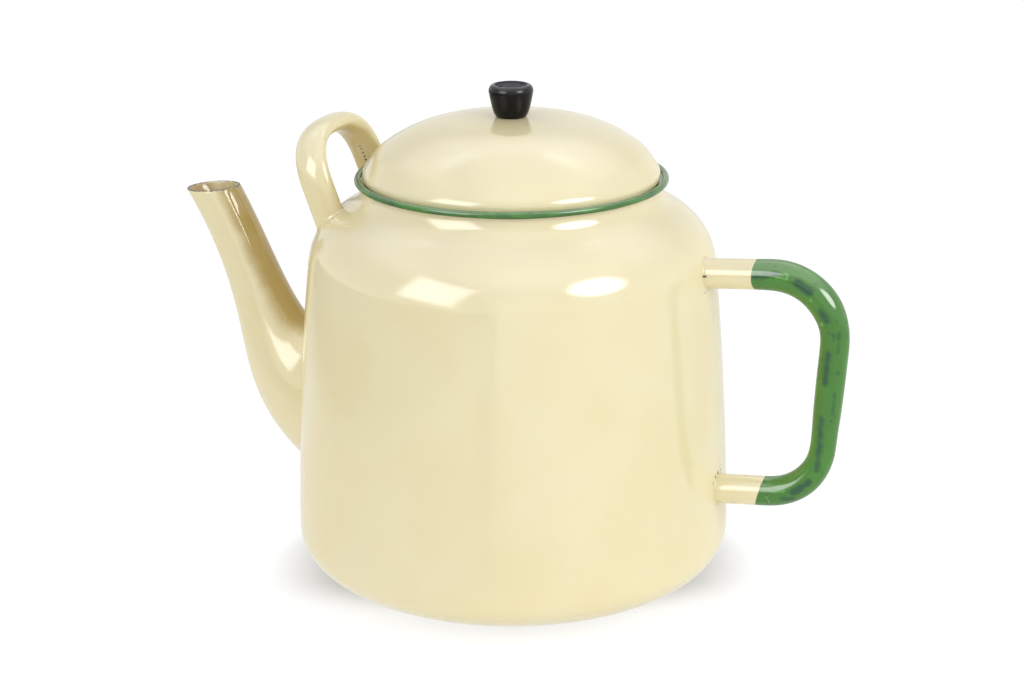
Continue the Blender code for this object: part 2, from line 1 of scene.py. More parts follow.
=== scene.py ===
# %% [markdown]
# # An enamelled steel teapot
#
# The pot in the photograph is a catering teapot: sheet steel drawn to shape,
# dipped in cream enamel and fired, with a green grip, a green mouth ring and a
# black moulded knob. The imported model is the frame. Every piece below is a
# smooth surface worked out with numpy in that same frame, in metres, so that
# it goes exactly where the solid is, and takes the solid's place.

# %% The frame
import math

import bpy
import numpy as np
from mathutils import Matrix, Vector


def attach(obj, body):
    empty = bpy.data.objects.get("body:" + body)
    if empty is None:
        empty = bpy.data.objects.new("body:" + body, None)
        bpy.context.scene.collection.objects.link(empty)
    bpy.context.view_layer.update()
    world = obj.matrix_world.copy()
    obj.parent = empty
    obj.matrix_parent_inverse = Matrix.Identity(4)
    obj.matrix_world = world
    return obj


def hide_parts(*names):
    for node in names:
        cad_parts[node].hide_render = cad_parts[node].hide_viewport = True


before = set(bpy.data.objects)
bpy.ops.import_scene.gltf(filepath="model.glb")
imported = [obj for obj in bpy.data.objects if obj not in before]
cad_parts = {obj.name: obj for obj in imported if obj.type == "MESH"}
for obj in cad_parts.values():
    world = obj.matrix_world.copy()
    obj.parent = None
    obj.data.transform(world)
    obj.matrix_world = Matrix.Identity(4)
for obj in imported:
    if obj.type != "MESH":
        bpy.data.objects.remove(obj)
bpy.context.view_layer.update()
MM = 0.001
print("frame holds", sorted(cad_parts))

# %% [markdown]
# ## Surfaces as grids
#
# A turned or bent sheet is a grid of places: one parameter runs along the
# section or the path, and the other runs round it. All the faces of such a
# grid follow from its two counts, so they are worked out as one array. A
# section that ends on the axis gets one point there, which closes the pole.


# %% Grids of places and faces
def grid_faces(rows, columns, looped):
    """Quads between each row and the next, round all columns. If looped, the
    last row meets the first one again."""
    row = np.arange(rows if looped else rows - 1)[:, None]
    column = np.arange(columns)[None, :]
    beside = (column + 1) % columns
    above = (row + 1) % rows
    corners = [row * columns + column, row * columns + beside,
               above * columns + beside, above * columns + column]
    shape = (len(row), columns)
    return np.stack([np.broadcast_to(c, shape) for c in corners], axis=-1).reshape(-1, 4)


def volume_of(points, triangles):
    """Sum of a . (b x c) / 6 over the triangles: positive if they face outwards."""
    a, b, c = (points[triangles[:, k]] for k in range(3))
    return float(np.einsum("ij,ij->i", a, np.cross(b, c)).sum() / 6.0)


def outward(points, quads, fans):
    """The faces as lists, turned round together if they close a negative volume."""
    halves = [quads[:, [0, 1, 2]], quads[:, [0, 2, 3]]] + [fan for fan in fans if len(fan)]
    if volume_of(points, np.vstack(halves)) < 0.0:
        quads = quads[:, ::-1]
        fans = [fan[:, ::-1] for fan in fans]
    faces = quads.tolist()
    for fan in fans:
        faces += fan.tolist()
    return faces


def turned(section, sides):
    """A section turned about the axis: (r, z) becomes (r cos a, r sin a, z).
    Ends that lie on the axis become the two poles; otherwise the section is a
    closed loop."""
    poled = section[0, 0] == 0.0 and section[-1, 0] == 0.0
    rows = section[1:-1] if poled else section
    angle = np.linspace(0.0, 2.0 * np.pi, sides, endpoint=False)
    points = np.empty((len(rows), sides, 3))
    points[:, :, 0] = rows[:, :1] * np.cos(angle)
    points[:, :, 1] = rows[:, :1] * np.sin(angle)
    points[:, :, 2] = rows[:, 1:]
    points = points.reshape(-1, 3)
    quads = grid_faces(len(rows), sides, looped=not poled)
    if not poled:
        return points, outward(points, quads, [])
    first = np.arange(sides)
    beside = (first + 1) % sides
    last = first + (len(rows) - 1) * sides
    poles = np.array([[0.0, 0.0, section[0, 1]], [0.0, 0.0, section[-1, 1]]])
    low = np.stack([np.full(sides, len(points)), beside, first], axis=1)
    high = np.stack([np.full(sides, len(points) + 1), last, np.roll(last, -1)], axis=1)
    points = np.vstack([points, poles])
    return points, outward(points, quads, [low, high])


# %% [markdown]
# ## Lines that flow
#
# Sheet metal that was drawn over a former has no corners. A section is first
# laid out from arcs and straight runs, then resampled to even steps, and then
# eased: each place becomes the weighted mean of its neighbours. The line goes
# on past both ends as its own image turned half round, so the ends stay put.


# %% Section lines
def arc(centre, radii, start, end, steps):
    """Places of an ellipse from one angle to another, in degrees."""
    angle = np.radians(np.linspace(start, end, steps + 1))
    return np.stack([centre[0] + radii[0] * np.cos(angle),
                     centre[1] + radii[1] * np.sin(angle)], axis=1)


def curve_through(places, share):
    """De Casteljau's rule: mean neighbouring places by the share until one is left."""
    left = [np.asarray(place, float) for place in places]
    share = np.asarray(share, float)[..., None]
    while len(left) > 1:
        left = [a + (b - a) * share for a, b in zip(left[:-1], left[1:])]
    return left[0]


def travel_along(points):
    """Length of the line from its start to each of its places."""
    steps = np.linalg.norm(np.diff(points, axis=0), axis=1)
    return np.concatenate([[0.0], np.cumsum(steps)])


def evenly(points, step):
    """The line's places at equal steps of its length."""
    travel = travel_along(points)
    count = int(np.ceil(travel[-1] / step)) + 1
    wanted = np.linspace(0.0, travel[-1], count)
    return np.stack([np.interp(wanted, travel, line) for line in points.T], axis=1)


def eased(points, reach):
    """The line with its corners eased by a bell-shaped mean of that reach."""
    step = travel_along(points)[-1] / (len(points) - 1)
    half = int(3.0 * reach / step) + 1
    bell = np.exp(-0.5 * (np.arange(-half, half + 1) * step / reach) ** 2)
    before = 2.0 * points[0] - points[half:0:-1]
    after = 2.0 * points[-1] - points[-2:-half - 2:-1]
    longer = np.vstack([before, points, after])
    lines = [np.convolve(line, bell / bell.sum(), mode="valid") for line in longer.T]
    return np.stack(lines, axis=1)


def ways_along(line):
    """Unit direction of the line at each of its places."""
    way = np.gradient(line, axis=0)
    return way / np.linalg.norm(way, axis=1)[:, None]


def smooth_step(value):
    """Rise from 0 to 1 with level ends: 3 v squared - 2 v cubed."""
    held = np.clip(value, 0.0, 1.0)
    return held * held * (3.0 - 2.0 * held)


# %% [markdown]
# ## The pot's section
#
# The pot is one drawing of sheet steel: a flat base, a wide rounded corner, a
# wall that tapers and bows a little, a shoulder that closes in, a short neck
# and a flare that carries the mouth's ring. The same values as in the solid
# model give it, and the eased line takes the facets away.

# %% The body's outer line
SHEET = 1.3 * MM
FOOT_RADIUS, CORNER_HEIGHT = 61.2 * MM, 29.7 * MM
BODY_RADIUS, SHOULDER_RADIUS = 115.0 * MM, 107.0 * MM
SHOULDER_HEIGHT, WALL_BOW = 174.7 * MM, 1.4 * MM
SHOULDER_DEPTH, SHOULDER_RISE = 57.6 * MM, 38.6 * MM
NECK_RADIUS, NECK_BLEND, NECK_TOP, NECK_FLARE = 77.9 * MM, 8.4 * MM, 217.8 * MM, 0.4 * MM
SECTION_STEP = 0.25 * MM
WALL_EASE, NECK_EASE = 4.0 * MM, 0.7 * MM
CRISP_FROM, CRISP_WITHIN = 188.0 * MM, 10.0 * MM


def wall_radius(height):
    """Straight taper from base corner to shoulder, plus a parabola for the bow."""
    share = (height - CORNER_HEIGHT) / (SHOULDER_HEIGHT - CORNER_HEIGHT)
    taper = (SHOULDER_RADIUS - BODY_RADIUS) * share
    return BODY_RADIUS + taper + WALL_BOW * 4.0 * share * (1.0 - share)


def body_line():
    """The outer line from the middle of the base to the end of the flare."""
    corner = arc((FOOT_RADIUS, CORNER_HEIGHT), (BODY_RADIUS - FOOT_RADIUS, CORNER_HEIGHT),
                 -90, 0, 60)
    heights = np.linspace(CORNER_HEIGHT, SHOULDER_HEIGHT, 60)[1:-1]
    wall = np.stack([wall_radius(heights), heights], axis=1)
    centre = SHOULDER_RADIUS - SHOULDER_DEPTH
    turn = math.acos((NECK_RADIUS + NECK_BLEND - centre) / SHOULDER_DEPTH)
    shoulder = arc((centre, SHOULDER_HEIGHT), (SHOULDER_DEPTH, SHOULDER_RISE),
                   0, math.degrees(turn), 60)
    slope = SHOULDER_RISE / (SHOULDER_DEPTH * math.tan(turn))
    meeting = (NECK_RADIUS, shoulder[-1, 1] + slope * NECK_BLEND)
    neck = curve_through([shoulder[-1], meeting, (NECK_RADIUS, NECK_TOP)],
                         np.linspace(0.0, 1.0, 30))[1:]
    flare = arc((NECK_RADIUS + NECK_FLARE, NECK_TOP), (NECK_FLARE, NECK_FLARE), 180, 90, 20)[1:]
    rough = evenly(np.vstack([[(0.0, 0.0)], corner, wall, shoulder, neck, flare]), SECTION_STEP)
    crisp, soft = eased(rough, NECK_EASE), eased(rough, WALL_EASE)
    near_neck = smooth_step((rough[:, 1:] - CRISP_FROM) / CRISP_WITHIN)
    return soft + (crisp - soft) * near_neck


def normals_of(line):
    """Outward normals of a line that runs up the outside: (dz, -dr), made unit."""
    way = ways_along(line)
    return np.stack([way[:, 1], -way[:, 0]], axis=1)


BODY_LINE = body_line()
BODY_LINE[0, 0] = 0.0
BODY_NORMALS = normals_of(BODY_LINE)
print("body line", len(BODY_LINE), "places, widest", BODY_LINE[:, 0].max() / MM, "mm")


# %% Where the body's skin is
def skin_radius(height):
    """The skin's distance from the axis at a height above the base corner."""
    start = np.searchsorted(BODY_LINE[:, 0], FOOT_RADIUS)
    return np.interp(height, BODY_LINE[start:, 1], BODY_LINE[start:, 0])


def onto_body(points, lift=0.0):
    """The nearest places of the body's skin, raised by lift along its normal.
    Each point's (r, z) is compared with the line, and then slid along the
    line's direction at the nearest place."""
    reach = np.hypot(points[..., 0], points[..., 1])
    flat = np.stack([reach, points[..., 2]], axis=-1).reshape(-1, 2)
    gaps = ((flat[:, None, :] - BODY_LINE[None, ::2, :]) ** 2).sum(axis=-1)
    nearest = gaps.argmin(axis=1) * 2
    normal = BODY_NORMALS[nearest]
    depth = ((flat - BODY_LINE[nearest]) * normal).sum(axis=1)
    placed = flat + normal * (lift - depth)[:, None]
    placed = placed.reshape(*reach.shape, 2)
    grown = placed[..., 0] / np.maximum(reach, 1e-9)
    return np.stack([points[..., 0] * grown, points[..., 1] * grown, placed[..., 1]], axis=-1)


# %% [markdown]
# ## Node helpers
#
# A finish is a small network of nodes. The helpers below add one node each
# and take numbers or other nodes' outputs alike, so that a recipe reads as a
# sum. Every pattern reads Object coordinates, in metres, because each piece's
# origin is the world's, so a pattern of 15 mm is 15 mm on every piece.


# %% Small tools for finishes
def feed(tree, socket, value):
    """Link an output to the socket, or write a number or colour on it."""
    if isinstance(value, bpy.types.NodeSocket):
        tree.links.new(value, socket)
    elif isinstance(value, tuple) and len(value) == 3 and socket.type == "RGBA":
        socket.default_value = (*value, 1.0)
    else:
        socket.default_value = value


def sums(tree, operation, *values):
    """One Math node over numbers and outputs."""
    made = tree.nodes.new("ShaderNodeMath")
    made.operation = operation
    for socket, value in zip(made.inputs, values):
        feed(tree, socket, value)
    return made.outputs[0]


def between(tree, value, low, high, first=0.0, last=1.0):
    """Smooth change from first to last as the value goes from low to high."""
    made = tree.nodes.new("ShaderNodeMapRange")
    made.interpolation_type = "SMOOTHSTEP"
    for name, given in (("Value", value), ("From Min", low), ("From Max", high),
                        ("To Min", first), ("To Max", last)):
        feed(tree, made.inputs[name], given)
    return made.outputs[0]


def blended(tree, share, first, second):
    """A colour that goes from first to second with the share."""
    made = tree.nodes.new("ShaderNodeMix")
    made.data_type = "RGBA"
    feed(tree, made.inputs[0], share)
    feed(tree, made.inputs[6], first)
    feed(tree, made.inputs[7], second)
    return made.outputs[2]


def blended_numbers(tree, share, low, high):
    """low + share (high - low)."""
    return sums(tree, "MULTIPLY_ADD", share, sums(tree, "SUBTRACT", high, low), low)


def clouds(tree, place, size, detail=2.0, stretch=(1.0, 1.0, 1.0)):
    """Noise from 0 to 1 whose blotches are about the given size across."""
    scaled = tree.nodes.new("ShaderNodeMapping")
    feed(tree, scaled.inputs["Vector"], place)
    scaled.inputs["Scale"].default_value = stretch
    made = tree.nodes.new("ShaderNodeTexNoise")
    feed(tree, made.inputs["Vector"], scaled.outputs[0])
    made.inputs["Scale"].default_value = 1.0 / size
    made.inputs["Detail"].default_value = detail
    return made.outputs[0]


def parts_of(tree, place):
    """The x, y and z of a place."""
    made = tree.nodes.new("ShaderNodeSeparateXYZ")
    feed(tree, made.inputs[0], place)
    return made.outputs


def uneven(tree, place, size, reach, value):
    """The value plus noise of up to reach, which makes an edge ragged."""
    return sums(tree, "MULTIPLY_ADD", clouds(tree, place, size, 3.0), reach, value)


def satin(tree, place, size, low, high):
    """A roughness that wanders from low to high over patches of a size."""
    return between(tree, clouds(tree, place, size, 3.0), 0.3, 0.7, low, high)


def from_axis(tree, x, y):
    """Distance from the middle: the root of x squared plus y squared."""
    squares = [sums(tree, "MULTIPLY", value, value) for value in (x, y)]
    return sums(tree, "POWER", sums(tree, "ADD", *squares), 0.5)


def along(tree, place, angle):
    """How far a place lies along the level direction at an angle from X."""
    x, y = parts_of(tree, place)[:2]
    return sums(tree, "ADD", sums(tree, "MULTIPLY", x, math.cos(angle)),
                sums(tree, "MULTIPLY", y, math.sin(angle)))


def shaken(tree, place, size, reach):
    """The place moved by noise, up to about reach each way, to make ragged edges."""
    made = tree.nodes.new("ShaderNodeTexNoise")
    feed(tree, made.inputs["Vector"], place)
    made.inputs["Scale"].default_value = 1.0 / size
    made.inputs["Detail"].default_value = 3.0
    centred = tree.nodes.new("ShaderNodeVectorMath")
    centred.operation = "SUBTRACT"
    feed(tree, centred.inputs[0], made.outputs[1])
    centred.inputs[1].default_value = (0.5, 0.5, 0.5)
    moved = tree.nodes.new("ShaderNodeVectorMath")
    moved.operation = "MULTIPLY_ADD"
    feed(tree, moved.inputs[0], centred.outputs[0])
    moved.inputs[1].default_value = (2.0 * reach,) * 3
    feed(tree, moved.inputs[2], place)
    return moved.outputs[0]


def gap_to(tree, place, spots):
    """Distance to the nearest of some round spots (x, y, z, radius) in mm, less
    its radius: negative inside a spot."""
    nearest = 1.0
    for x, y, z, radius in spots:
        away = tree.nodes.new("ShaderNodeVectorMath")
        away.operation = "DISTANCE"
        feed(tree, away.inputs[0], place)
        away.inputs[1].default_value = (x * MM, y * MM, z * MM)
        gap = sums(tree, "SUBTRACT", away.outputs["Value"], radius * MM)
        nearest = sums(tree, "MINIMUM", nearest, gap)
    return nearest


def own_number(tree, name):
    """A number that the piece's own points carry."""
    made = tree.nodes.new("ShaderNodeAttribute")
    made.attribute_name = name
    return made.outputs["Fac"]


ENAMEL_IOR = 1.62


def new_finish(name, ior=ENAMEL_IOR):
    """An empty Principled finish: its material, tree, shader and Object place."""
    made = bpy.data.materials.new(name)
    made.use_nodes = True
    tree = made.node_tree
    shader = tree.nodes["Principled BSDF"]
    shader.inputs["IOR"].default_value = ior
    place = tree.nodes.new("ShaderNodeTexCoord").outputs["Object"]
    return made, tree, shader, place


def raise_by(tree, shader, height):
    """Bump by a height in metres."""
    made = tree.nodes.new("ShaderNodeBump")
    made.inputs["Strength"].default_value = 1.0
    made.inputs["Distance"].default_value = 1.0
    feed(tree, made.inputs["Height"], height)
    feed(tree, shader.inputs["Normal"], made.outputs[0])


def finished(made, tree, shader, colour, rough, height):
    """Feed the colour, the roughness and the bump, and hand over the material."""
    feed(tree, shader.inputs["Base Color"], colour)
    feed(tree, shader.inputs["Roughness"], rough)
    raise_by(tree, shader, height)
    return made


# %% [markdown]
# ## Cream enamel
#
# Enamel is glass fired on to steel. It is glossy, its thickness varies a
# little, so that reflections swim over some centimetres, and it carries tiny
# specks of the ground coat. Where it is knocked off, the nearly black ground
# coat shows with a rough edge and a little rust. The recipe takes a list of
# such chips, and the share of an ochre that is partly a dirty film by the
# welds and partly painted shade. The foot is darker, partly from wear and
# partly from painted contact shade.

# %% Cream enamel
CREAM, CREAM_WARM = (0.86, 0.775, 0.50), (0.845, 0.75, 0.455)
# Ochre for dirt by the welds and for specks, and also for painted crease shade, painted shade
# inside the loop and a painted reflection of the pot on the spout.
FILM_SHADE_AND_REFLECTION = (0.50, 0.37, 0.13)
GROUND_COAT, RUST = (0.022, 0.020, 0.020), (0.13, 0.055, 0.022)
WAVE_SIZE, WAVE_HEIGHT = 26.0 * MM, 0.030 * MM
PEEL_SIZE, PEEL_HEIGHT = 2.4 * MM, 0.0012 * MM
SPECK_SIZE = 1.1 * MM
CHIP_DEPTH = 0.12 * MM


def enamel_colour(tree, place, pale, warm):
    """Two close colours mixed by broad clouds, with sparse dark specks."""
    broad = between(tree, clouds(tree, place, 55.0 * MM, 3.0), 0.35, 0.65)
    coat = blended(tree, broad, pale, warm)
    speck = between(tree, clouds(tree, place, SPECK_SIZE, 1.0), 0.80, 0.83)
    return blended(tree, sums(tree, "MULTIPLY", speck, 0.55), coat, FILM_SHADE_AND_REFLECTION)


def enamel_height(tree, place):
    """Slow swells of the fired coat plus a fine orange peel, in metres."""
    swell = sums(tree, "MULTIPLY", clouds(tree, place, WAVE_SIZE, 1.0), WAVE_HEIGHT)
    peel = sums(tree, "MULTIPLY", clouds(tree, place, PEEL_SIZE, 1.0), PEEL_HEIGHT)
    return sums(tree, "ADD", swell, peel)


def chipped(tree, place, colour, rough, height, chips):
    """Colour, roughness and height with chips cut in: rust round a dark floor."""
    if not chips:
        return colour, rough, height
    gap = gap_to(tree, shaken(tree, place, 1.6 * MM, 0.5 * MM), chips)
    inside = between(tree, gap, 0.06 * MM, -0.06 * MM)
    rim = between(tree, gap, 0.5 * MM, 0.05 * MM)
    colour = blended(tree, sums(tree, "MULTIPLY", rim, 0.6), colour, RUST)
    colour = blended(tree, inside, colour, GROUND_COAT)
    rough = sums(tree, "MULTIPLY_ADD", inside, 0.35, rough)
    depth = sums(tree, "MULTIPLY", inside, -CHIP_DEPTH)
    return colour, rough, sums(tree, "ADD", height, depth)


# The foot's grey is partly a worn bare edge and partly painted contact shade where the base meets
# the floor.
FOOT_BARE_AND_SHADE, FOOT_DARK_HEIGHTS = (0.16, 0.15, 0.12), (2.6 * MM, 0.6 * MM)


def cream_enamel(name, chips=(), film_and_shade=None):
    """Cream coat with its swells, specks, chips, ochre film and painted shade, and a foot darkened
    by wear and painted contact shade.
    """
    made, tree, shader, place = new_finish(name)
    colour = enamel_colour(tree, place, CREAM, CREAM_WARM)
    if film_and_shade is not None:
        colour = blended(tree, film_and_shade(tree, place), colour, FILM_SHADE_AND_REFLECTION)
    # Darker towards the bottom: wear and painted contact shade.
    low = uneven(tree, place, 5.0 * MM, 1.0 * MM, parts_of(tree, place)[2])
    colour = blended(tree, between(tree, low, *FOOT_DARK_HEIGHTS, 0.0, 0.85), colour, FOOT_BARE_AND_SHADE)
    rough = satin(tree, place, 9.0 * MM, 0.09, 0.13)
    height = enamel_height(tree, place)
    colour, rough, height = chipped(tree, place, colour, rough, height, chips)
    return finished(made, tree, shader, colour, rough, height)


# %% [markdown]
# ## Making a piece
#
# Each surface becomes one mesh at the world's origin. It rides on the body of
# the solid that it stands for, which it hides, so that the lid's pieces lift
# together.

# %% Adding a piece to the frame
SHARP_TURN = math.radians(38.0)


def new_object(name, points, faces):
    """A mesh object at the world's origin, linked to the scene."""
    mesh = bpy.data.meshes.new(name)
    mesh.from_pydata(points.tolist(), [], faces)
    made = bpy.data.objects.new(name, mesh)
    bpy.context.scene.collection.objects.link(made)
    return made


def add_piece(name, surface, coat, body, node):
    """Mesh from places and faces, smooth but for sharp turns, riding on a body."""
    points, faces = surface
    piece = new_object(name, points, faces)
    piece.data.materials.append(coat)
    piece.data.shade_smooth()
    piece.data.set_sharp_from_angle(angle=SHARP_TURN)
    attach(piece, body)
    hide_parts(node)
    low, high = points.min(axis=0) / MM, points.max(axis=0) / MM
    print(name, len(faces), "faces, from", low.round(1), "to", high.round(1), "mm")
    return piece


def give_numbers(piece, name, values):
    """Put one number on each point of the piece, for its finish to read."""
    numbers = piece.data.attributes.new(name, "FLOAT", "POINT")
    numbers.data.foreach_set("value", np.asarray(values, np.float32).ravel())


def cut_from(piece, cutter):
    """Subtract a cutter for good, and remove it."""
    made = piece.modifiers.new("cut", "BOOLEAN")
    made.solver = "EXACT"
    made.object = cutter
    bpy.context.view_layer.objects.active = piece
    with bpy.context.temp_override(object=piece, active_object=piece):
        bpy.ops.object.modifier_apply(modifier=made.name)
    bpy.data.objects.remove(cutter, do_unlink=True)
    piece.data.set_sharp_from_angle(angle=SHARP_TURN)


# %% [markdown]
# ## The pot's body
#
# The wall is one sheet, so its inside is the outer line moved in by the
# sheet's thickness. Behind the spout the wall should be punched with a field
# of small holes that hold back the leaves. This cut leaves the wall closed:
# the pins' faces point inward. The solid has the holes.

# %% The body and its strainer
BODY_SIDES = 192
STRAINER_HOLE, STRAINER_PITCH = 5.0 * MM, 9.0 * MM
STRAINER_WIDTH, STRAINER_HEIGHT = 38.0 * MM, 50.0 * MM
SPOUT_ROOT_HEIGHT = 90.6 * MM
# Knocks beside the grip's two roots, as (x, y, z, radius) in mm.
ROOT_CHIPS = [(107.3, -8.6, 177.0, 0.8), (107.9, -7.4, 168.3, 0.55), (113.8, 5.6, 68.8, 0.45),
              (114.2, -0.5, 69.3, 0.70), (114.0, -4.7, 68.3, 0.50), (113.8, -8.2, 65.9, 0.40)]


def sheet_section(line, thickness):
    """The outer line up and its inner offset back, as one closed section."""
    inner = line - normals_of(line) * thickness
    return np.vstack([line, inner[::-1]])


def body_surface():
    """The body's line, thinned to even steps, with its wall, turned full round."""
    line = evenly(BODY_LINE, 2.2 * MM)
    section = sheet_section(line, SHEET)
    section[0, 0] = section[-1, 0] = 0.0
    return turned(section, BODY_SIDES)


def strainer_places():
    """Places of a close-packed field of holes inside an oval."""
    row_pitch = STRAINER_PITCH * math.sqrt(3.0) / 2.0
    row, column = np.mgrid[-8:9, -6:7]
    rise = row * row_pitch
    side = (column + 0.5 * (row % 2)) * STRAINER_PITCH
    kept = (side / STRAINER_WIDTH) ** 2 + (rise / STRAINER_HEIGHT) ** 2 <= 0.25
    return side[kept], SPOUT_ROOT_HEIGHT + rise[kept]


def strainer_pins():
    """Round pins along X, one for each hole: all rings in one array."""
    side, height = strainer_places()
    sides = 20
    angle = np.linspace(0.0, 2.0 * np.pi, sides, endpoint=False)
    ends = np.array([-130.0, -90.0]) * MM
    points = np.empty((len(side), 2, sides, 3))
    points[..., 0] = ends[None, :, None]
    points[..., 1] = side[:, None, None] + STRAINER_HOLE / 2.0 * np.cos(angle)
    points[..., 2] = height[:, None, None] + STRAINER_HOLE / 2.0 * np.sin(angle)
    ring = np.arange(sides)
    beside = (ring + 1) % sides
    faces = []
    for pin in range(len(side)):
        start = pin * 2 * sides
        walls = np.stack([ring, ring + sides, beside + sides, beside], axis=1) + start
        faces += walls.tolist() + [(ring + start).tolist()]
        faces.append((ring[::-1] + start + sides).tolist())
    print("strainer has", len(side), "holes")
    return new_object("strainer_pins", points.reshape(-1, 3), faces)


pot_coat = cream_enamel("pot_cream", ROOT_CHIPS)
pot_body = add_piece("pot_body", body_surface(), pot_coat, "pot", "body_shell")
cut_from(pot_body, strainer_pins())

# %% [markdown]
# ## The mouth's ring
#
# The edge of the mouth is wired: a bead of steel runs round it, dipped in
# green. It is a small oval turned about the axis. The dip isn't quite even,
# so the oval swells and shrinks a little on its way round.

# %% The mouth's ring
RING_WIDTH, RING_HEIGHT = 3.5 * MM, 3.5 * MM
RING_RADIUS = NECK_RADIUS + NECK_FLARE + RING_WIDTH / 2.0
RING_MIDDLE = NECK_TOP + NECK_FLARE + SHEET / 2.0
RING_UNEVEN = 0.07 * MM


def ring_surface(sides=288, around=28):
    """(R + a cos t) across and b sin t up, with a and b swelling by slow waves."""
    angle = np.linspace(0.0, 2.0 * np.pi, sides, endpoint=False)[None, :]
    turn = np.linspace(0.0, 2.0 * np.pi, around, endpoint=False)[:, None]
    swell = RING_UNEVEN * (np.sin(5.0 * angle + 0.7) + 0.6 * np.sin(11.0 * angle + 2.1))
    reach = RING_RADIUS + (RING_WIDTH / 2.0 + 0.4 * swell) * np.cos(turn)
    height = RING_MIDDLE + (RING_HEIGHT / 2.0 + swell) * np.sin(turn)
    points = np.stack([reach * np.cos(angle), reach * np.sin(angle),
                       np.broadcast_to(height, reach.shape)], axis=-1).reshape(-1, 3)
    return points, outward(points, grid_faces(around, sides, looped=True), [])


# %% [markdown]
# ## Green enamel
#
# The green is a second coat over the cream, mottled and worn: darker
# blue-green blotches where it is thin over the ground coat, lighter streaks
# where it pooled. The ring's inner edge is greyer, and painted shade darkens
# its lower half.

# %% Green enamel
GREEN, GREEN_LIGHT = (0.052, 0.196, 0.020), (0.068, 0.262, 0.026)
GREEN_DARK, GREEN_POOLED = (0.006, 0.062, 0.030), (0.20, 0.50, 0.12)
RING_GREY = (0.30, 0.33, 0.25)


def green_colour(tree, place, stretch=(1.0, 1.0, 1.0)):
    """Green with lighter pools and small dark mottles."""
    pools = between(tree, clouds(tree, place, 14.0 * MM, 3.0, stretch), 0.42, 0.68)
    colour = blended(tree, sums(tree, "MULTIPLY", pools, 0.5), GREEN, GREEN_LIGHT)
    mottle = between(tree, clouds(tree, place, 3.2 * MM, 3.0, stretch), 0.60, 0.72)
    return blended(tree, sums(tree, "MULTIPLY", mottle, 0.55), colour, GREEN_DARK)


RING_UNDERSIDE_SHADE = (0.006, 0.035, 0.020)


def ring_green():
    """Green on the ring, greyed on its inner side, with painted shade on its lower half."""
    made, tree, shader, place = new_finish("ring_green")
    x, y, z = parts_of(tree, place)
    reach = from_axis(tree, x, y)
    ragged = uneven(tree, place, 2.5 * MM, 1.2 * MM, reach)
    inner = between(tree, ragged, RING_RADIUS - 0.1 * MM, RING_RADIUS - 0.9 * MM)
    thin = between(tree, clouds(tree, place, 9.0 * MM, 3.0), 0.42, 0.62, 0.08, 0.40)
    colour = blended(tree, thin, green_colour(tree, place), GREEN_DARK)
    colour = blended(tree, sums(tree, "MULTIPLY", inner, 0.55), colour, RING_GREY)
    # Painted shade: the ring's lower half is darkened toward near black-green.
    dip = uneven(tree, place, 4.0 * MM, 1.0 * MM, z)
    low = between(tree, dip, RING_MIDDLE + 0.1 * MM, RING_MIDDLE - 1.1 * MM)
    colour = blended(tree, sums(tree, "MULTIPLY", low, 0.85), colour, RING_UNDERSIDE_SHADE)
    rough = satin(tree, place, 5.0 * MM, 0.10, 0.20)
    height = enamel_height(tree, place)
    colour, rough, height = chipped(tree, place, colour, rough, height, RING_CHIPS)
    return finished(made, tree, shader, colour, rough, height)


# Knocks on the ring, as (x, y, z, radius) in mm.
RING_CHIPS = [(-69.6, -39.7, 220.3, 0.8), (79.2, 10.4, 220.3, 0.5), (30.0, 76.5, 219.0, 0.6)]
add_piece("mouth_ring", ring_surface(), ring_green(), "pot", "mouth_bead")

# %% [markdown]
# ## Tubes that grow from the wall
#
# Spout, grip and loop are bent tubes, welded to the pot and then enamelled
# with it, so that each root runs into the wall with a small hollow fillet.
# A tube is a ring carried along a path. Each of its lengthwise lines is
# followed until it comes out of the pot's skin, and the grid starts there.
# Near the root the surface then swells: at a distance d from the skin it
# stands out by f (1 - sqrt(d / f)) squared, a parabola that touches both the
# wall and the tube, and its foot is laid on the skin.

# %% Roots on the wall
BURIED = 0.6 * MM
FAR_FROM_ROOT = 1.0


def skin_gap(points, depth):
    """How far places are outside the skin, sunk by depth: negative inside."""
    reach = np.hypot(points[..., 0], points[..., 1])
    return reach - skin_radius(points[..., 2]) + depth


def root_shares(tube, angles, inset, depth, start, end):
    """The share of the path at which each lengthwise line leaves the skin, as
    the last crossing on the way from start, inside the pot, to end."""
    shares = np.linspace(start, end, 900)
    gap = skin_gap(tube(shares[:, None], angles[None, :], inset), depth)
    last = len(shares) - 1 - (gap < 0.0)[::-1].argmax(axis=0)
    column = np.arange(len(angles))
    inside, outside = gap[last, column], gap[last + 1, column]
    step = shares[1] - shares[0]
    return shares[last] + step * inside / (inside - outside)


def wall_fillet(points, middles, size):
    """Swell the rows near the first one by the parabola, and lay its foot on
    the skin. Returns the places and each one's distance from the root."""
    steps = np.linalg.norm(np.diff(points, axis=0), axis=2)
    away = np.concatenate([np.zeros((1, points.shape[1])), np.cumsum(steps, axis=0)])
    swell = size * (1.0 - np.sqrt(np.clip(away / size, 0.0, 1.0))) ** 2
    out = points - middles
    out /= np.linalg.norm(out, axis=2)[:, :, None]
    near = (swell > 0.0).any(axis=1)
    swollen = points + out * swell[:, :, None]
    laid = swollen.copy()
    laid[near] += (onto_body(swollen[near]) - swollen[near]) * (swell[near] / size)[:, :, None]
    return laid, away


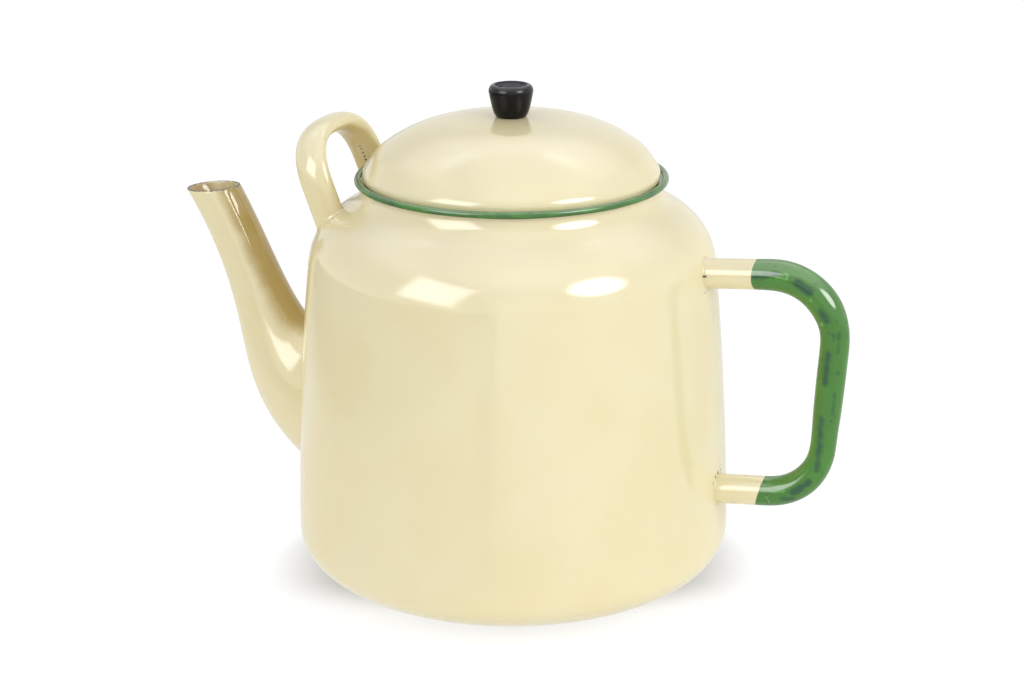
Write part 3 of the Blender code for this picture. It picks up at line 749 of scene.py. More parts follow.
def tube_piece(tube, middle, sides, rows, thickness, fillet, lip_at_end):
    """Grid of a hollow tube that is rooted in the wall at both ends, or closed
    by a lip at the far one. Each root is looked for from its end of the path to
    the path's middle. Returns the surface and each point's distance from a root."""
    angles = np.linspace(0.0, 2.0 * np.pi, sides, endpoint=False)
    walls = []
    for inset, depth in ((0.0, 0.0), (thickness, BURIED)):
        first = root_shares(tube, angles, inset, depth, 0.0, 0.5)
        last = np.ones(sides)
        if not lip_at_end:
            last = root_shares(tube, angles, inset, depth, 1.0, 0.5)
        u = np.linspace(0.0, 1.0, rows)
        pace = 1.0 - np.cos(0.5 * np.pi * u) if lip_at_end else 0.5 - 0.5 * np.cos(np.pi * u)
        shares = first + (last - first) * pace[:, None]
        walls.append((tube(shares, angles[None, :], inset), middle(shares)))
    (outer, centres), (inner, _) = walls
    outer, away = wall_fillet(outer, centres, fillet)
    buried_first = onto_body(outer[:1], -BURIED)
    if lip_at_end:
        bend = np.radians(np.arange(15.0, 180.0, 15.0))[:, None, None]
        mean, half = 0.5 * (outer[-1] + inner[-1]), 0.5 * (outer[-1] - inner[-1])
        ahead = outer[-1] - outer[-2]
        ahead /= np.linalg.norm(ahead, axis=1)[:, None]
        size = np.linalg.norm(half, axis=1)[:, None]
        closing = mean + half * np.cos(bend) + ahead * size * np.sin(bend)
        beyond = np.full(closing.shape[:2], FAR_FROM_ROOT)
    else:
        flipped, other = wall_fillet(outer[::-1], centres[::-1], fillet)
        outer, away = flipped[::-1], np.minimum(away, other[::-1])
        closing = onto_body(outer[-1:], -BURIED)
        beyond = np.zeros((1, sides))
    grid = np.concatenate([buried_first, outer, closing, inner[::-1]])
    root = np.concatenate([np.zeros((1, sides)), away, beyond, np.full(inner.shape[:2], FAR_FROM_ROOT)])
    points = grid.reshape(-1, 3)
    surface = points, outward(points, grid_faces(len(grid), sides, looped=True), [])
    return surface, root


# %% [markdown]
# ## The pouring spout
#
# The spout is a tapered tube with an oval, deep root. Its middle line is a
# cubic curve that leaves the wall and rises to the lip; its size falls with a
# power of what is left of the way. Near the lip the rings turn to lie level,
# because the real one is cut off level so that it pours without dripping.

# %% The spout
SPOUT_PATH = np.array([(-96.0, 90.6), (-144.5, 97.9), (-136.1, 139.6), (-172.0, 200.1)]) * MM
SPOUT_ROOT_DEEP, SPOUT_ROOT_WIDE = 49.8 * MM, 32.0 * MM
SPOUT_LIP_RADIUS, SPOUT_TAPER = 13.3 * MM, 2.6
SPOUT_LIP_SLOPE, SPOUT_TURN_SHARE = 4.5, 0.6
TUBE_SHEET = 1.3 * MM


def path_way(places, share):
    """Direction of the cubic curve: the curve of its three differences."""
    way = curve_through(np.diff(places, axis=0), share)
    return way / np.linalg.norm(way, axis=-1)[..., None]


def spout_tube(share, angle, inset):
    """path + across deep cos(angle) + Y wide sin(angle)."""
    place, way = curve_through(SPOUT_PATH, share), path_way(SPOUT_PATH, share)
    taper = (1.0 - share) ** SPOUT_TAPER
    deep = SPOUT_LIP_RADIUS + (SPOUT_ROOT_DEEP - SPOUT_LIP_RADIUS) * taper - inset
    wide = SPOUT_LIP_RADIUS + (SPOUT_ROOT_WIDE - SPOUT_LIP_RADIUS) * taper - inset
    square = np.arctan2(way[..., 0], -way[..., 1])
    square = np.where(square < 0.0, square + 2.0 * np.pi, square)
    level = math.radians(180.0 + SPOUT_LIP_SLOPE)
    turn = smooth_step((share - SPOUT_TURN_SHARE) / (1.0 - SPOUT_TURN_SHARE))
    lean = square + (level - square) * turn
    in_plane = deep / np.cos(lean - square) * np.cos(angle)
    return np.stack([place[..., 0] + np.cos(lean) * in_plane, wide * np.sin(angle),
                     place[..., 1] + np.sin(lean) * in_plane], axis=-1)


def spout_middle(share):
    """The middle line in space, at Y = 0."""
    place = curve_through(SPOUT_PATH, share)
    return np.stack([place[..., 0], np.zeros_like(share), place[..., 1]], axis=-1)


spout_surface, spout_root = tube_piece(
    spout_tube, spout_middle, 128, 150, TUBE_SHEET, 3.0 * MM, lip_at_end=True)


def spout_cream():
    """Cream with ochre by the weld, as dirt and painted crease shade, an ochre painted reflection
    of the pot on the side that faces it, and a lip worn to the ground coat.
    """
    made, tree, shader, place = new_finish("spout_cream")
    colour = enamel_colour(tree, place, CREAM, CREAM_WARM)
    # Ochre near the weld: partly a dirty film, partly painted shade in the crease at the root.
    root = uneven(tree, place, 6.0 * MM, 3.0 * MM, own_number(tree, "from_root"))
    film_and_shade = between(tree, root, 5.0 * MM, 1.0 * MM, 0.0, 0.30)
    x, _, z = parts_of(tree, place)
    # Painted reflection: ochre on the spout's upper side that faces the pot stands in for the pot
    # mirrored there.
    ragged = uneven(tree, place, 14.0 * MM, 0.3, own_number(tree, "toward_pot"))
    painted_pot_reflection = sums(tree, "MULTIPLY", between(tree, ragged, 0.38, 0.82, 0.0, 1.0),
                  between(tree, z, 105.0 * MM, 135.0 * MM))
    colour = blended(tree, sums(tree, "MAXIMUM", film_and_shade, painted_pot_reflection), colour, FILM_SHADE_AND_REFLECTION)
    ragged = uneven(tree, place, 2.4 * MM, 1.2 * MM, z)
    level = sums(tree, "MULTIPLY_ADD", x, -math.tan(math.radians(SPOUT_LIP_SLOPE)), ragged)
    worn = between(tree, level, LIP_WORN - 0.10 * MM, LIP_WORN + 0.10 * MM)
    colour = blended(tree, worn, colour, GROUND_COAT)
    rough = satin(tree, place, 9.0 * MM, 0.07, 0.11)
    rough = sums(tree, "MULTIPLY_ADD", worn, 0.3, rough)
    return finished(made, tree, shader, colour, rough, enamel_height(tree, place))


LIP_REACH, LIP_WEAR_HEIGHT = 172.0 * MM, 201.05 * MM
LIP_WORN = LIP_WEAR_HEIGHT + LIP_REACH * math.tan(math.radians(SPOUT_LIP_SLOPE))
pouring_spout = add_piece("pouring_spout", spout_surface, spout_cream(), "pot",
                          "spout")
give_numbers(pouring_spout, "from_root", spout_root)
facing = np.empty(3 * len(spout_surface[0]), np.float32)
pouring_spout.data.vertex_normals.foreach_get("vector", facing)
give_numbers(pouring_spout, "toward_pot", facing[::3])

# %% [markdown]
# ## The grip
#
# The grip is one round tube bent twice. Its line is laid out from straight
# runs and two arcs, then eased, so that the bends flow as bent tube does. It
# is drawn a little thinner where the hand holds it. The green coat covers it
# between two places near the roots, with a wavy, worn edge.

# %% The grip's line
TOP_HEIGHT, TOP_RISE, TOP_BEND = 176.2 * MM, 3.9, 31.5 * MM
LOW_HEIGHT, LOW_RISE, LOW_BEND = 60.1 * MM, 3.5, 29.5 * MM
GRIP_REACH, GRIP_HEIGHT, GRIP_LEAN = 173.0 * MM, 134.0 * MM, 4.6
# Thickness along the tube, as (share of its length, mm). Bending changed it.
GRIP_WIDTHS = np.array([(0.0, 15.9), (0.15, 15.6), (0.22, 16.5), (0.34, 16.5), (0.38, 15.0),
                        (0.50, 15.0), (0.57, 14.5), (0.63, 13.3), (0.69, 13.7), (0.75, 15.2),
                        (0.82, 15.5), (1.0, 15.8)])
GREEN_REACH = 131.0 * MM
ROOT_DEPTH, ROOT_LEAD = 14.0 * MM, 8.0 * MM
BEND_EASE = 3.5 * MM


def crossing(place_a, angle_a, place_b, angle_b):
    """Where two lines, each a place and an angle in degrees, cross."""
    a, b = np.radians(angle_a), np.radians(angle_b)
    ways = np.array([[np.cos(a), -np.cos(b)], [np.sin(a), -np.sin(b)]])
    share = np.linalg.solve(ways, np.subtract(place_b, place_a))[0]
    return np.add(place_a, share * np.array([np.cos(a), np.sin(a)]))


def rounded(before, corner, after, radius):
    """An arc of that radius that touches both legs of a corner."""
    back = (before - corner) / np.linalg.norm(before - corner)
    ahead = (after - corner) / np.linalg.norm(after - corner)
    half = np.arccos(np.clip(back @ ahead, -1.0, 1.0)) / 2.0
    start = corner + back * radius / np.tan(half)
    centre = corner + (back + ahead) / np.linalg.norm(back + ahead) * radius / np.sin(half)
    angle = np.linspace(0.0, np.pi - 2.0 * half, 40)[:, None]
    return centre + (start - centre) * np.cos(angle) - back * radius * np.sin(angle)


def grip_line():
    """Top root, two rounded corners, low root, in even eased steps."""
    top_root = np.array([wall_radius(SHOULDER_HEIGHT) - ROOT_DEPTH,
                         TOP_HEIGHT - ROOT_LEAD * math.tan(math.radians(TOP_RISE))])
    low_root = np.array([wall_radius(LOW_HEIGHT) - ROOT_DEPTH,
                         LOW_HEIGHT - ROOT_LEAD * math.tan(math.radians(LOW_RISE))])
    grip = np.array([GRIP_REACH, GRIP_HEIGHT])
    upright = 90.0 - GRIP_LEAN
    top = crossing(top_root, TOP_RISE, grip, upright)
    low = crossing(low_root, LOW_RISE, grip, upright)
    line = np.vstack([[top_root], rounded(top_root, top, low, TOP_BEND),
                      rounded(top, low, low_root, LOW_BEND), [low_root]])
    return eased(evenly(line, 0.5 * MM), BEND_EASE)


GRIP_LINE = grip_line()
GRIP_SHARE = np.linspace(0.0, 1.0, len(GRIP_LINE))
GRIP_WAY = ways_along(GRIP_LINE)


def on_line(share, share_table, table):
    """A table's columns read at any shares."""
    flat = np.asarray(share, float)
    return [np.interp(flat, share_table, column) for column in table.T]


# The table read along the line, and averaged over some places each way.
WIDTH_SPAN = 12
WIDTH_MEAN = np.ones(2 * WIDTH_SPAN + 1) / (2.0 * WIDTH_SPAN + 1.0)
GRIP_WIDTH = np.pad(np.interp(GRIP_SHARE, *GRIP_WIDTHS.T) * MM, WIDTH_SPAN, mode="edge")
GRIP_WIDTH = np.convolve(GRIP_WIDTH, WIDTH_MEAN, mode="valid")


def grip_tube(share, angle, inset):
    """path + radius (across cos(angle) + Y sin(angle)), thinner in the hand."""
    x, z = on_line(share, GRIP_SHARE, GRIP_LINE)
    way_x, way_z = on_line(share, GRIP_SHARE, GRIP_WAY)
    radius = np.interp(share, GRIP_SHARE, GRIP_WIDTH) / 2.0 - inset
    return np.stack([x - way_z * radius * np.cos(angle), radius * np.sin(angle),
                     z + way_x * radius * np.cos(angle)], axis=-1)


def grip_middle(share):
    """The grip's middle line in space."""
    x, z = on_line(share, GRIP_SHARE, GRIP_LINE)
    return np.stack([x, np.zeros_like(x), z], axis=-1)


grip_surface, grip_root = tube_piece(
    grip_tube, grip_middle, 80, 260, TUBE_SHEET, 1.3 * MM, lip_at_end=False)


# %% [markdown]
# ## Wear on the grip
#
# Where hands and shelves rub the grip, the green is gone and the dark
# blue-green under-coat shows in long patches. Each patch is a short line
# along the grip's face. Every point of the mesh carries its distance to the
# nearest of those lines, and the finish breaks that number up with noise.

# %% Worn patches
# Each is a start, an end and a half width: x, y, z, x, y, z, w in mm.
WORN_PATCHES = np.array([
    (132.7, -8.0, 179.1, 143.7, -7.4, 181.4, 1.5),
    (155.2, -7.7, 177.9, 162.0, -7.6, 173.8, 2.1),
    (167.9, -7.5, 164.4, 171.1, -7.5, 159.5, 1.5),
    (177.2, -6.4, 152.9, 177.3, -6.5, 150.3, 0.8),
    (177.4, -6.5, 148.2, 177.3, -6.5, 143.5, 0.3),
    (172.2, -7.5, 142.2, 171.1, -7.5, 126.1, 1.5),
    (169.5, -7.5, 106.7, 168.1, -7.5, 79.4, 1.7),
    (176.2, -6.5, 121.0, 175.5, -6.4, 109.6, 0.4),
    (163.8, -7.3, 71.8, 156.1, -7.5, 65.4, 2.0),
    (155.9, -6.3, 62.2, 150.8, -7.0, 61.3, 1.3),
    (175.5, 4.0, 152.0, 173.0, 5.0, 128.0, 1.4),
    (171.0, 6.0, 100.0, 170.0, 6.0, 84.0, 1.3),
    (150.0, 6.5, 182.0, 163.0, 6.5, 172.5, 1.6),
]) * MM
# Places where the green pooled as it was fired, as thin curls and blots.
POOLED_CURLS = np.array([
    (143.9, -7.9, 180.1, 149.5, -7.8, 179.3, 0.45), (149.5, -7.8, 179.3, 150.8, -7.0, 181.5, 0.7),
    (150.8, -7.0, 181.5, 147.7, -7.0, 182.5, 0.5), (162.6, -7.6, 169.9, 163.0, -7.6, 169.0, 0.8),
    (168.1, -6.6, 158.1, 168.6, -6.8, 156.5, 0.7), (142.0, -7.9, 61.6, 143.3, -6.5, 58.0, 0.25),
    (145.0, -7.9, 64.5, 152.0, -7.9, 66.0, 0.5),
]) * MM
# A thin dark line along the top of the low root and the inner side of the low bend.
LOW_BEND_DARK_LINE = np.array([
    (119.0, -2.3, 69.0, 121.0, -2.3, 69.1, 0.12), (121.0, -2.3, 69.1, 138.0, -2.1, 70.0, 0.42),
    (138.0, -2.1, 70.0, 147.9, -3.1, 71.7, 0.15), (147.9, -3.1, 71.7, 156.0, -4.1, 76.3, 0.15),
    (156.0, -4.1, 76.3, 162.0, -5.7, 82.7, 0.15),
]) * MM


def gap_to_lines(points, lines):
    """Each point's distance to the nearest short line, less its half width:
    the point's shadow on the line is held between the line's two ends."""
    start, end, half = lines[:, :3], lines[:, 3:6], lines[:, 6]
    way = end - start
    share = np.einsum("plk,lk->pl", points[:, None, :] - start, way) / (way ** 2).sum(axis=1)
    foot = start + np.clip(share, 0.0, 1.0)[:, :, None] * way
    return (np.linalg.norm(points[:, None, :] - foot, axis=2) - half).min(axis=1)


# Knocks and pits on the grip, as (x, y, z, radius) in mm.
GRIP_CHIPS = ROOT_CHIPS + [
    (121.0, -8.0, 180.1, 0.28), (154.5, -7.1, 180.0, 0.50), (159.1, -6.8, 170.2, 0.32),
    (163.2, -7.6, 168.9, 0.32), (142.3, -7.9, 62.9, 0.32)]
TOP_EDGE, TOP_BULGE = GREEN_REACH + 0.3 * MM, 18.0
LOW_EDGE, LOW_SLANT = GREEN_REACH + 6.2 * MM, 0.26


def root_film_and_shade(tree, place):
    """Share of the ochre, a dirty film and painted crease shade, from the piece's own distance to
    its root.
    """
    root = uneven(tree, place, 5.0 * MM, 2.0 * MM, own_number(tree, "from_root"))
    return between(tree, root, 3.0 * MM, 0.6 * MM, 0.0, 0.3)


def coat_edge(tree, place):
    """How far a place is inside the green: its x against a line that bulges
    at the top root and slants at the low one, with a wavy noise. In the hand
    it is green all round."""
    x, _, z = parts_of(tree, place)
    wave = uneven(tree, place, 5.0 * MM, 0.8 * MM, -0.4 * MM)
    from_top = sums(tree, "SUBTRACT", z, 179.5 * MM)
    bulge = sums(tree, "MULTIPLY", sums(tree, "MULTIPLY", from_top, from_top), TOP_BULGE)
    top = sums(tree, "ADD", bulge, TOP_EDGE)
    low = sums(tree, "MULTIPLY_ADD", sums(tree, "SUBTRACT", z, 62.0 * MM), LOW_SLANT, LOW_EDGE)
    edge = blended_numbers(tree, sums(tree, "GREATER_THAN", z, 120.0 * MM), low, top)
    near = sums(tree, "ADD", sums(tree, "SUBTRACT", x, edge), wave)
    return sums(tree, "MAXIMUM", near, sums(tree, "SUBTRACT", x, 150.0 * MM))


def near_line(tree, place, name, shake_size, shake, soft):
    """Share of a mark: 1 on its line, with an edge that is shaken and soft."""
    noise = uneven(tree, place, shake_size, 2.0 * shake, -shake)
    return between(tree, sums(tree, "ADD", own_number(tree, name), noise), soft, -soft)


def green_marks(tree, place):
    """The grip's green with its worn patches and pooled curls."""
    green = green_colour(tree, place, (1.0, 1.0, 0.55))
    thin = near_line(tree, place, "from_wear", 4.5 * MM, 1.3 * MM, 1.5 * MM)
    pooled = near_line(tree, place, "from_curl", 2.0 * MM, 0.4 * MM, 0.3 * MM)
    green = blended(tree, sums(tree, "MULTIPLY", thin, 0.86), green, GREEN_DARK)
    return blended(tree, sums(tree, "MULTIPLY", pooled, 0.85), green, GREEN_POOLED)


def grip_coat():
    """Cream at the roots with ochre dirt and painted crease shade, green between, and a thin dark
    line.
    """
    made, tree, shader, place = new_finish("grip_green_and_cream")
    cream = enamel_colour(tree, place, CREAM, CREAM_WARM)
    cream = blended(tree, root_film_and_shade(tree, place), cream, FILM_SHADE_AND_REFLECTION)
    inside = coat_edge(tree, place)
    rim = between(tree, sums(tree, "ABSOLUTE", inside), 0.7 * MM, 0.1 * MM)
    share = between(tree, inside, -0.30 * MM, 0.30 * MM)
    green = blended(tree, sums(tree, "MULTIPLY", rim, 0.4), green_marks(tree, place), GREEN_DARK)
    colour = blended(tree, share, cream, green)
    dark_line = near_line(tree, place, "from_dark_line", 1.6 * MM, 0.30 * MM, 0.10 * MM)
    colour = blended(tree, sums(tree, "MULTIPLY", dark_line, 0.92), colour, GROUND_COAT)
    rough = satin(tree, place, 6.0 * MM, 0.07, 0.12)
    step = sums(tree, "MULTIPLY", share, 0.05 * MM)
    height = sums(tree, "ADD", enamel_height(tree, place), step)
    colour, rough, height = chipped(tree, place, colour, rough, height, GRIP_CHIPS)
    return finished(made, tree, shader, colour, rough, height)


grip = add_piece("grip", grip_surface, grip_coat(), "pot", "handle")
give_numbers(grip, "from_root", grip_root)
give_numbers(grip, "from_wear", gap_to_lines(grip_surface[0], WORN_PATCHES))
give_numbers(grip, "from_curl", gap_to_lines(grip_surface[0], POOLED_CURLS))
give_numbers(grip, "from_dark_line", gap_to_lines(grip_surface[0], LOW_BEND_DARK_LINE))

# %% [markdown]
# ## The steadying loop
#
# A full pot is steadied with two fingers by a small loop on the shoulder,
# over the spout. It is a flattened tube bent to a round-topped arch, which
# leans out. The arch is a superellipse: side and height are powers of the
# cosine and sine of one angle, with straight legs below.

# %% The steadying loop
LOOP_REACH, LOOP_REACH_HEIGHT, LOOP_LEAN = 89.2 * MM, 200.0 * MM, 20.4
LOOP_HALF_SPAN, LOOP_SPRING, LOOP_RISE, LOOP_POWER = 34.6 * MM, 213.7 * MM, 25.4 * MM, 2.6
LOOP_WIDTH, LOOP_THICKNESS, LOOP_FOOT = 17.6 * MM, 10.2 * MM, 178.0 * MM


def loop_line():
    """Leg up, arch over, leg down, in even eased steps."""
    angle = np.linspace(0.0, np.pi, 400)
    power = 2.0 / LOOP_POWER
    side = LOOP_HALF_SPAN * np.sign(np.cos(angle)) * np.abs(np.cos(angle)) ** power
    height = LOOP_SPRING + LOOP_RISE * np.sin(angle) ** power
    side = np.concatenate([[LOOP_HALF_SPAN], side, [-LOOP_HALF_SPAN]])
    height = np.concatenate([[LOOP_FOOT], height, [LOOP_FOOT]])
    out = LOOP_REACH + (height - LOOP_REACH_HEIGHT) * math.tan(math.radians(LOOP_LEAN))
    return eased(evenly(np.stack([-out, side, height], axis=1), 0.4 * MM), 2.0 * MM)


LOOP_LINE = loop_line()
LOOP_SHARE = np.linspace(0.0, 1.0, len(LOOP_LINE))
LOOP_WAY = ways_along(LOOP_LINE)
LOOP_BROAD = np.array([math.cos(math.radians(LOOP_LEAN)), 0.0, math.sin(math.radians(LOOP_LEAN))])
LOOP_THIN = np.cross(LOOP_WAY, LOOP_BROAD)


def loop_tube(share, angle, inset):
    """path + broad a cos(angle) + thin b sin(angle): an oval square to the arch."""
    place = np.stack(on_line(share, LOOP_SHARE, LOOP_LINE), axis=-1)
    thin = np.stack(on_line(share, LOOP_SHARE, LOOP_THIN), axis=-1)
    wide = (LOOP_WIDTH / 2.0 - inset) * np.cos(angle)[..., None] * LOOP_BROAD
    return place + wide + (LOOP_THICKNESS / 2.0 - inset) * np.sin(angle)[..., None] * thin


def loop_middle(share):
    """The loop's middle line in space."""
    return np.stack(on_line(share, LOOP_SHARE, LOOP_LINE), axis=-1)


loop_surface, loop_root = tube_piece(
    loop_tube, loop_middle, 80, 180, TUBE_SHEET, 2.0 * MM, lip_at_end=False)
# Knocks down the seam inside the far leg, as (x, y, z, radius) in mm.
LOOP_CHIPS = [(-97.6, 28.7, 222.0, 0.30), (-97.0, 28.9, 220.4, 0.28), (-96.2, 29.3, 218.4, 0.34),
              (-95.4, 29.4, 216.3, 0.42), (-94.7, 29.6, 214.4, 0.50)]


def loop_depth(points):
    """Places against the arch: (y / span) and (rise / height) to its power,
    added up. The value is 1 on the middle line and less inside the arch."""
    side = np.abs(points[:, 1]) / LOOP_HALF_SPAN
    rise = np.clip((points[:, 2] - LOOP_SPRING) / LOOP_RISE, 0.0, None)
    return side ** LOOP_POWER + rise ** LOOP_POWER


def loop_shade_and_film(tree, place):
    """Ochre film and painted crease shade at the roots, and painted shade inside the arch."""
    # Painted shade: ochre darkens the inside of the arch.
    ragged = uneven(tree, place, 8.0 * MM, 0.16, own_number(tree, "in_arch"))
    inner = between(tree, ragged, 1.12, 0.86, 0.0, 0.62)
    return sums(tree, "MAXIMUM", inner, root_film_and_shade(tree, place))


loop_coat = cream_enamel("loop_cream", LOOP_CHIPS, loop_shade_and_film)
steadying_loop = add_piece("steadying_loop", loop_surface, loop_coat, "pot",
                           "helper_handle")
give_numbers(steadying_loop, "from_root", loop_root)
give_numbers(steadying_loop, "in_arch", loop_depth(loop_surface[0]))

# %% [markdown]
# ## The lid
#
# The lid is a spun dome: its height falls with a power of the distance from
# the middle, so that the crown is nearly flat and the edge falls quickly to a
# waist. Below the waist the sheet turns down into a foot and is rolled in at
# the hem. Inside, a collar keeps it centred in the neck.

# %% The lid's dome and collar
LID_SHEET, LID_TOP, LID_DROP = 1.2 * MM, 251.0 * MM, 17.4 * MM
LID_WAIST, LID_POWER = 69.7 * MM, 3.2
LID_BREAK = 70.0 * MM
LID_BEND, LID_BEND_HEIGHT = 71.6 * MM, 231.9 * MM
LID_SLANT, LID_SLANT_HEIGHT = 77.0 * MM, 223.8 * MM
LID_FOOT, LID_FOOT_HEIGHT = 77.9 * MM, 222.4 * MM
LID_HEM, LID_HEM_HEIGHT, STUD_HOLE = 77.1 * MM, 219.3 * MM, 5.0 * MM
COLLAR_RADIUS, COLLAR_SHEET, COLLAR_HEM = 75.0 * MM, 1.0 * MM, 1.6 * MM
COLLAR_BOTTOM = NECK_TOP - 17.0 * MM
LID_SIDES = 192


def dome_height(radius):
    """The crown's height less a power of the distance from the middle."""
    return LID_TOP - LID_DROP * (radius / LID_WAIST) ** LID_POWER


def lid_line():
    """The lid's outer line from the stud's hole to the hem."""
    radii = np.linspace(STUD_HOLE / 2.0, LID_BREAK, 120)
    dome = np.stack([radii, dome_height(radii)], axis=1)
    share = np.linspace(0.0, 1.0, 40)[1:]
    slant = curve_through([dome[-1], (LID_BEND, LID_BEND_HEIGHT), (LID_SLANT, LID_SLANT_HEIGHT)],
                          share)
    roll = curve_through([slant[-1], (LID_FOOT, LID_FOOT_HEIGHT), (LID_HEM, LID_HEM_HEIGHT)], share)
    return eased(evenly(np.vstack([dome, slant, roll]), 0.3 * MM), 1.0 * MM)


def lid_surface():
    """The lid's line and its inner offset, turned. It runs down the outside, so
    the line is turned round before its normals are taken."""
    line = evenly(lid_line(), 1.1 * MM)[::-1]
    return turned(sheet_section(line, LID_SHEET), LID_SIDES)


def collar_surface():
    """A thin ring with a rounded lower edge."""
    line = lid_line()
    widest = int(line[:, 0].argmax())
    top = np.interp(COLLAR_RADIUS, line[:widest, 0], line[:widest, 1]) - LID_SHEET
    outer, inner = COLLAR_RADIUS, COLLAR_RADIUS - COLLAR_SHEET
    edge = arc((0.5 * (outer + inner), COLLAR_BOTTOM + COLLAR_HEM),
               (0.5 * COLLAR_SHEET, COLLAR_HEM), 0, -180, 12)[::-1]
    heights = np.linspace(COLLAR_BOTTOM + COLLAR_HEM, top, 8)[1:]
    up = np.stack([np.full(7, outer), heights], axis=1)
    down = np.stack([np.full(7, inner), heights[::-1]], axis=1)
    return turned(np.vstack([edge, up, down]), LID_SIDES)


lid_coat = cream_enamel("lid_cream")
add_piece("lid_dome", lid_surface(), lid_coat, "lid", "lid_shell")
add_piece("lid_ring", collar_surface(), lid_coat, "lid", "lid_collar")

# %% [markdown]
# ## The knob and its fasteners
#
# The knob is a black phenolic moulding: satin on its waist, with a sunk disc
# on top whose shine is turned almost off and whose colour is a little grey, a
# painted reflection, and two blind pin holes left by the moulding tool. A
# slotted screw and a washer hold it from inside the lid.

# %% The knob
KNOB_GAP, KNOB_HEIGHT = 0.3 * MM, 16.6 * MM
KNOB_FOOT = LID_TOP + 0.1 * MM
KNOB_TOP = LID_TOP + KNOB_GAP + KNOB_HEIGHT
KNOB_RADIUS, KNOB_FOOT_RADIUS, KNOB_EDGE, KNOB_WIDE_DROP = 11.6 * MM, 7.2 * MM, 2.4 * MM, 3.4 * MM
KNOB_DISC, KNOB_DISC_DEPTH = 8.6 * MM, 0.5 * MM
KNOB_BORE, KNOB_BORE_DEPTH = 2.3 * MM, 10.5 * MM
PIN_RADIUS, PIN_DEPTH, PIN_REACH, PIN_TURN = 1.1 * MM, 3.0 * MM, 6.2 * MM, math.radians(46.0)


def knob_surface():
    """Foot, a side whose radius grows with the root of its height, a rounded
    edge, a sunk disc, and the bore."""
    wide = KNOB_TOP - KNOB_WIDE_DROP
    share = np.linspace(0.0, 1.0, 60) ** 2
    side = np.stack([KNOB_FOOT_RADIUS + (KNOB_RADIUS - KNOB_FOOT_RADIUS) * np.sqrt(share),
                     KNOB_FOOT + (wide - KNOB_FOOT) * share], axis=1)
    edge = arc((KNOB_RADIUS - KNOB_EDGE, wide), (KNOB_EDGE, KNOB_WIDE_DROP), 0, 90, 24)[1:]
    disc = [(KNOB_DISC, KNOB_TOP), (KNOB_DISC - KNOB_DISC_DEPTH, KNOB_TOP - KNOB_DISC_DEPTH),
            (0.0, KNOB_TOP - KNOB_DISC_DEPTH)]
    foot = [(KNOB_BORE, KNOB_FOOT), (KNOB_FOOT_RADIUS, KNOB_FOOT)]
    line = evenly(np.vstack([foot, side[1:], edge, disc]), 0.1 * MM)
    line = evenly(eased(line, 0.16 * MM), 0.3 * MM)
    line[-1, 0] = 0.0
    bore = [(0.0, KNOB_FOOT + KNOB_BORE_DEPTH), (KNOB_BORE, KNOB_FOOT + KNOB_BORE_DEPTH)]
    return turned(np.vstack([bore, line]), 128)


def round_pin(name, centre, radius, low, high, sides=24):
    """An upright pin between two heights, as a cutter."""
    angle = np.linspace(0.0, 2.0 * np.pi, sides, endpoint=False)
    ring = np.stack([centre[0] + radius * np.cos(angle),
                     centre[1] + radius * np.sin(angle)], axis=1)
    points = np.vstack([np.column_stack([ring, np.full(sides, low)]),
                        np.column_stack([ring, np.full(sides, high)])])
    first = np.arange(sides)
    beside = (first + 1) % sides
    walls = np.stack([first, beside, beside + sides, first + sides], axis=1).tolist()
    faces = walls + [first[::-1].tolist(), (first + sides).tolist()]
    return new_object(name, points, faces)


def knob_black():
    """Phenolic: near black, a satin side, a grey disc with almost no shine that is a painted
    reflection, fine mould lines.
    """
    made, tree, shader, place = new_finish("knob_black", 1.55)
    x, y, z = parts_of(tree, place)
    reach = from_axis(tree, x, y)
    disc = between(tree, reach, KNOB_DISC + 0.1 * MM, KNOB_DISC - 0.4 * MM)
    disc = sums(tree, "MULTIPLY", disc, between(tree, z, KNOB_TOP - 1.5 * MM, KNOB_TOP - 0.9 * MM))
    dust = between(tree, clouds(tree, place, 2.5 * MM, 4.0), 0.45, 0.75)
    rubbed = between(tree, z, KNOB_TOP - 4.4 * MM, KNOB_TOP - 2.4 * MM, 0.17, 0.26)
    shine = blended_numbers(tree, disc, rubbed, 0.01)
    feed(tree, shader.inputs["Specular IOR Level"], shine)
    colour = blended(tree, sums(tree, "MULTIPLY", dust, 0.35), (0.003, 0.003, 0.0035),
                     (0.010, 0.009, 0.008))
    # Painted reflection: the disc is coloured grey and bluish in place of the sheen it would
    # mirror.
    colour = blended(tree, sums(tree, "MULTIPLY", disc, 0.75), colour, (0.044, 0.044, 0.056))
    rough = satin(tree, place, 3.0 * MM, 0.15, 0.24)
    rough = sums(tree, "MULTIPLY_ADD", disc, 0.12, rough)
    rings = sums(tree, "SINE", sums(tree, "MULTIPLY", reach, 2.0 * math.pi / (0.7 * MM)))
    turning = sums(tree, "MULTIPLY", sums(tree, "MULTIPLY", rings, disc), 0.004 * MM)
    grain = sums(tree, "MULTIPLY", clouds(tree, place, 0.8 * MM, 2.0), 0.010 * MM)
    return finished(made, tree, shader, colour, rough, sums(tree, "ADD", turning, grain))


lid_knob = add_piece("lid_knob", knob_surface(), knob_black(), "lid", "knob")
pin_way = np.array([math.cos(PIN_TURN), math.sin(PIN_TURN)]) * PIN_REACH
for sign in (-1.0, 1.0):
    cut_from(lid_knob, round_pin("blind_pin", sign * pin_way, PIN_RADIUS,
                                 KNOB_TOP - PIN_DEPTH, KNOB_TOP + 2.0 * MM))

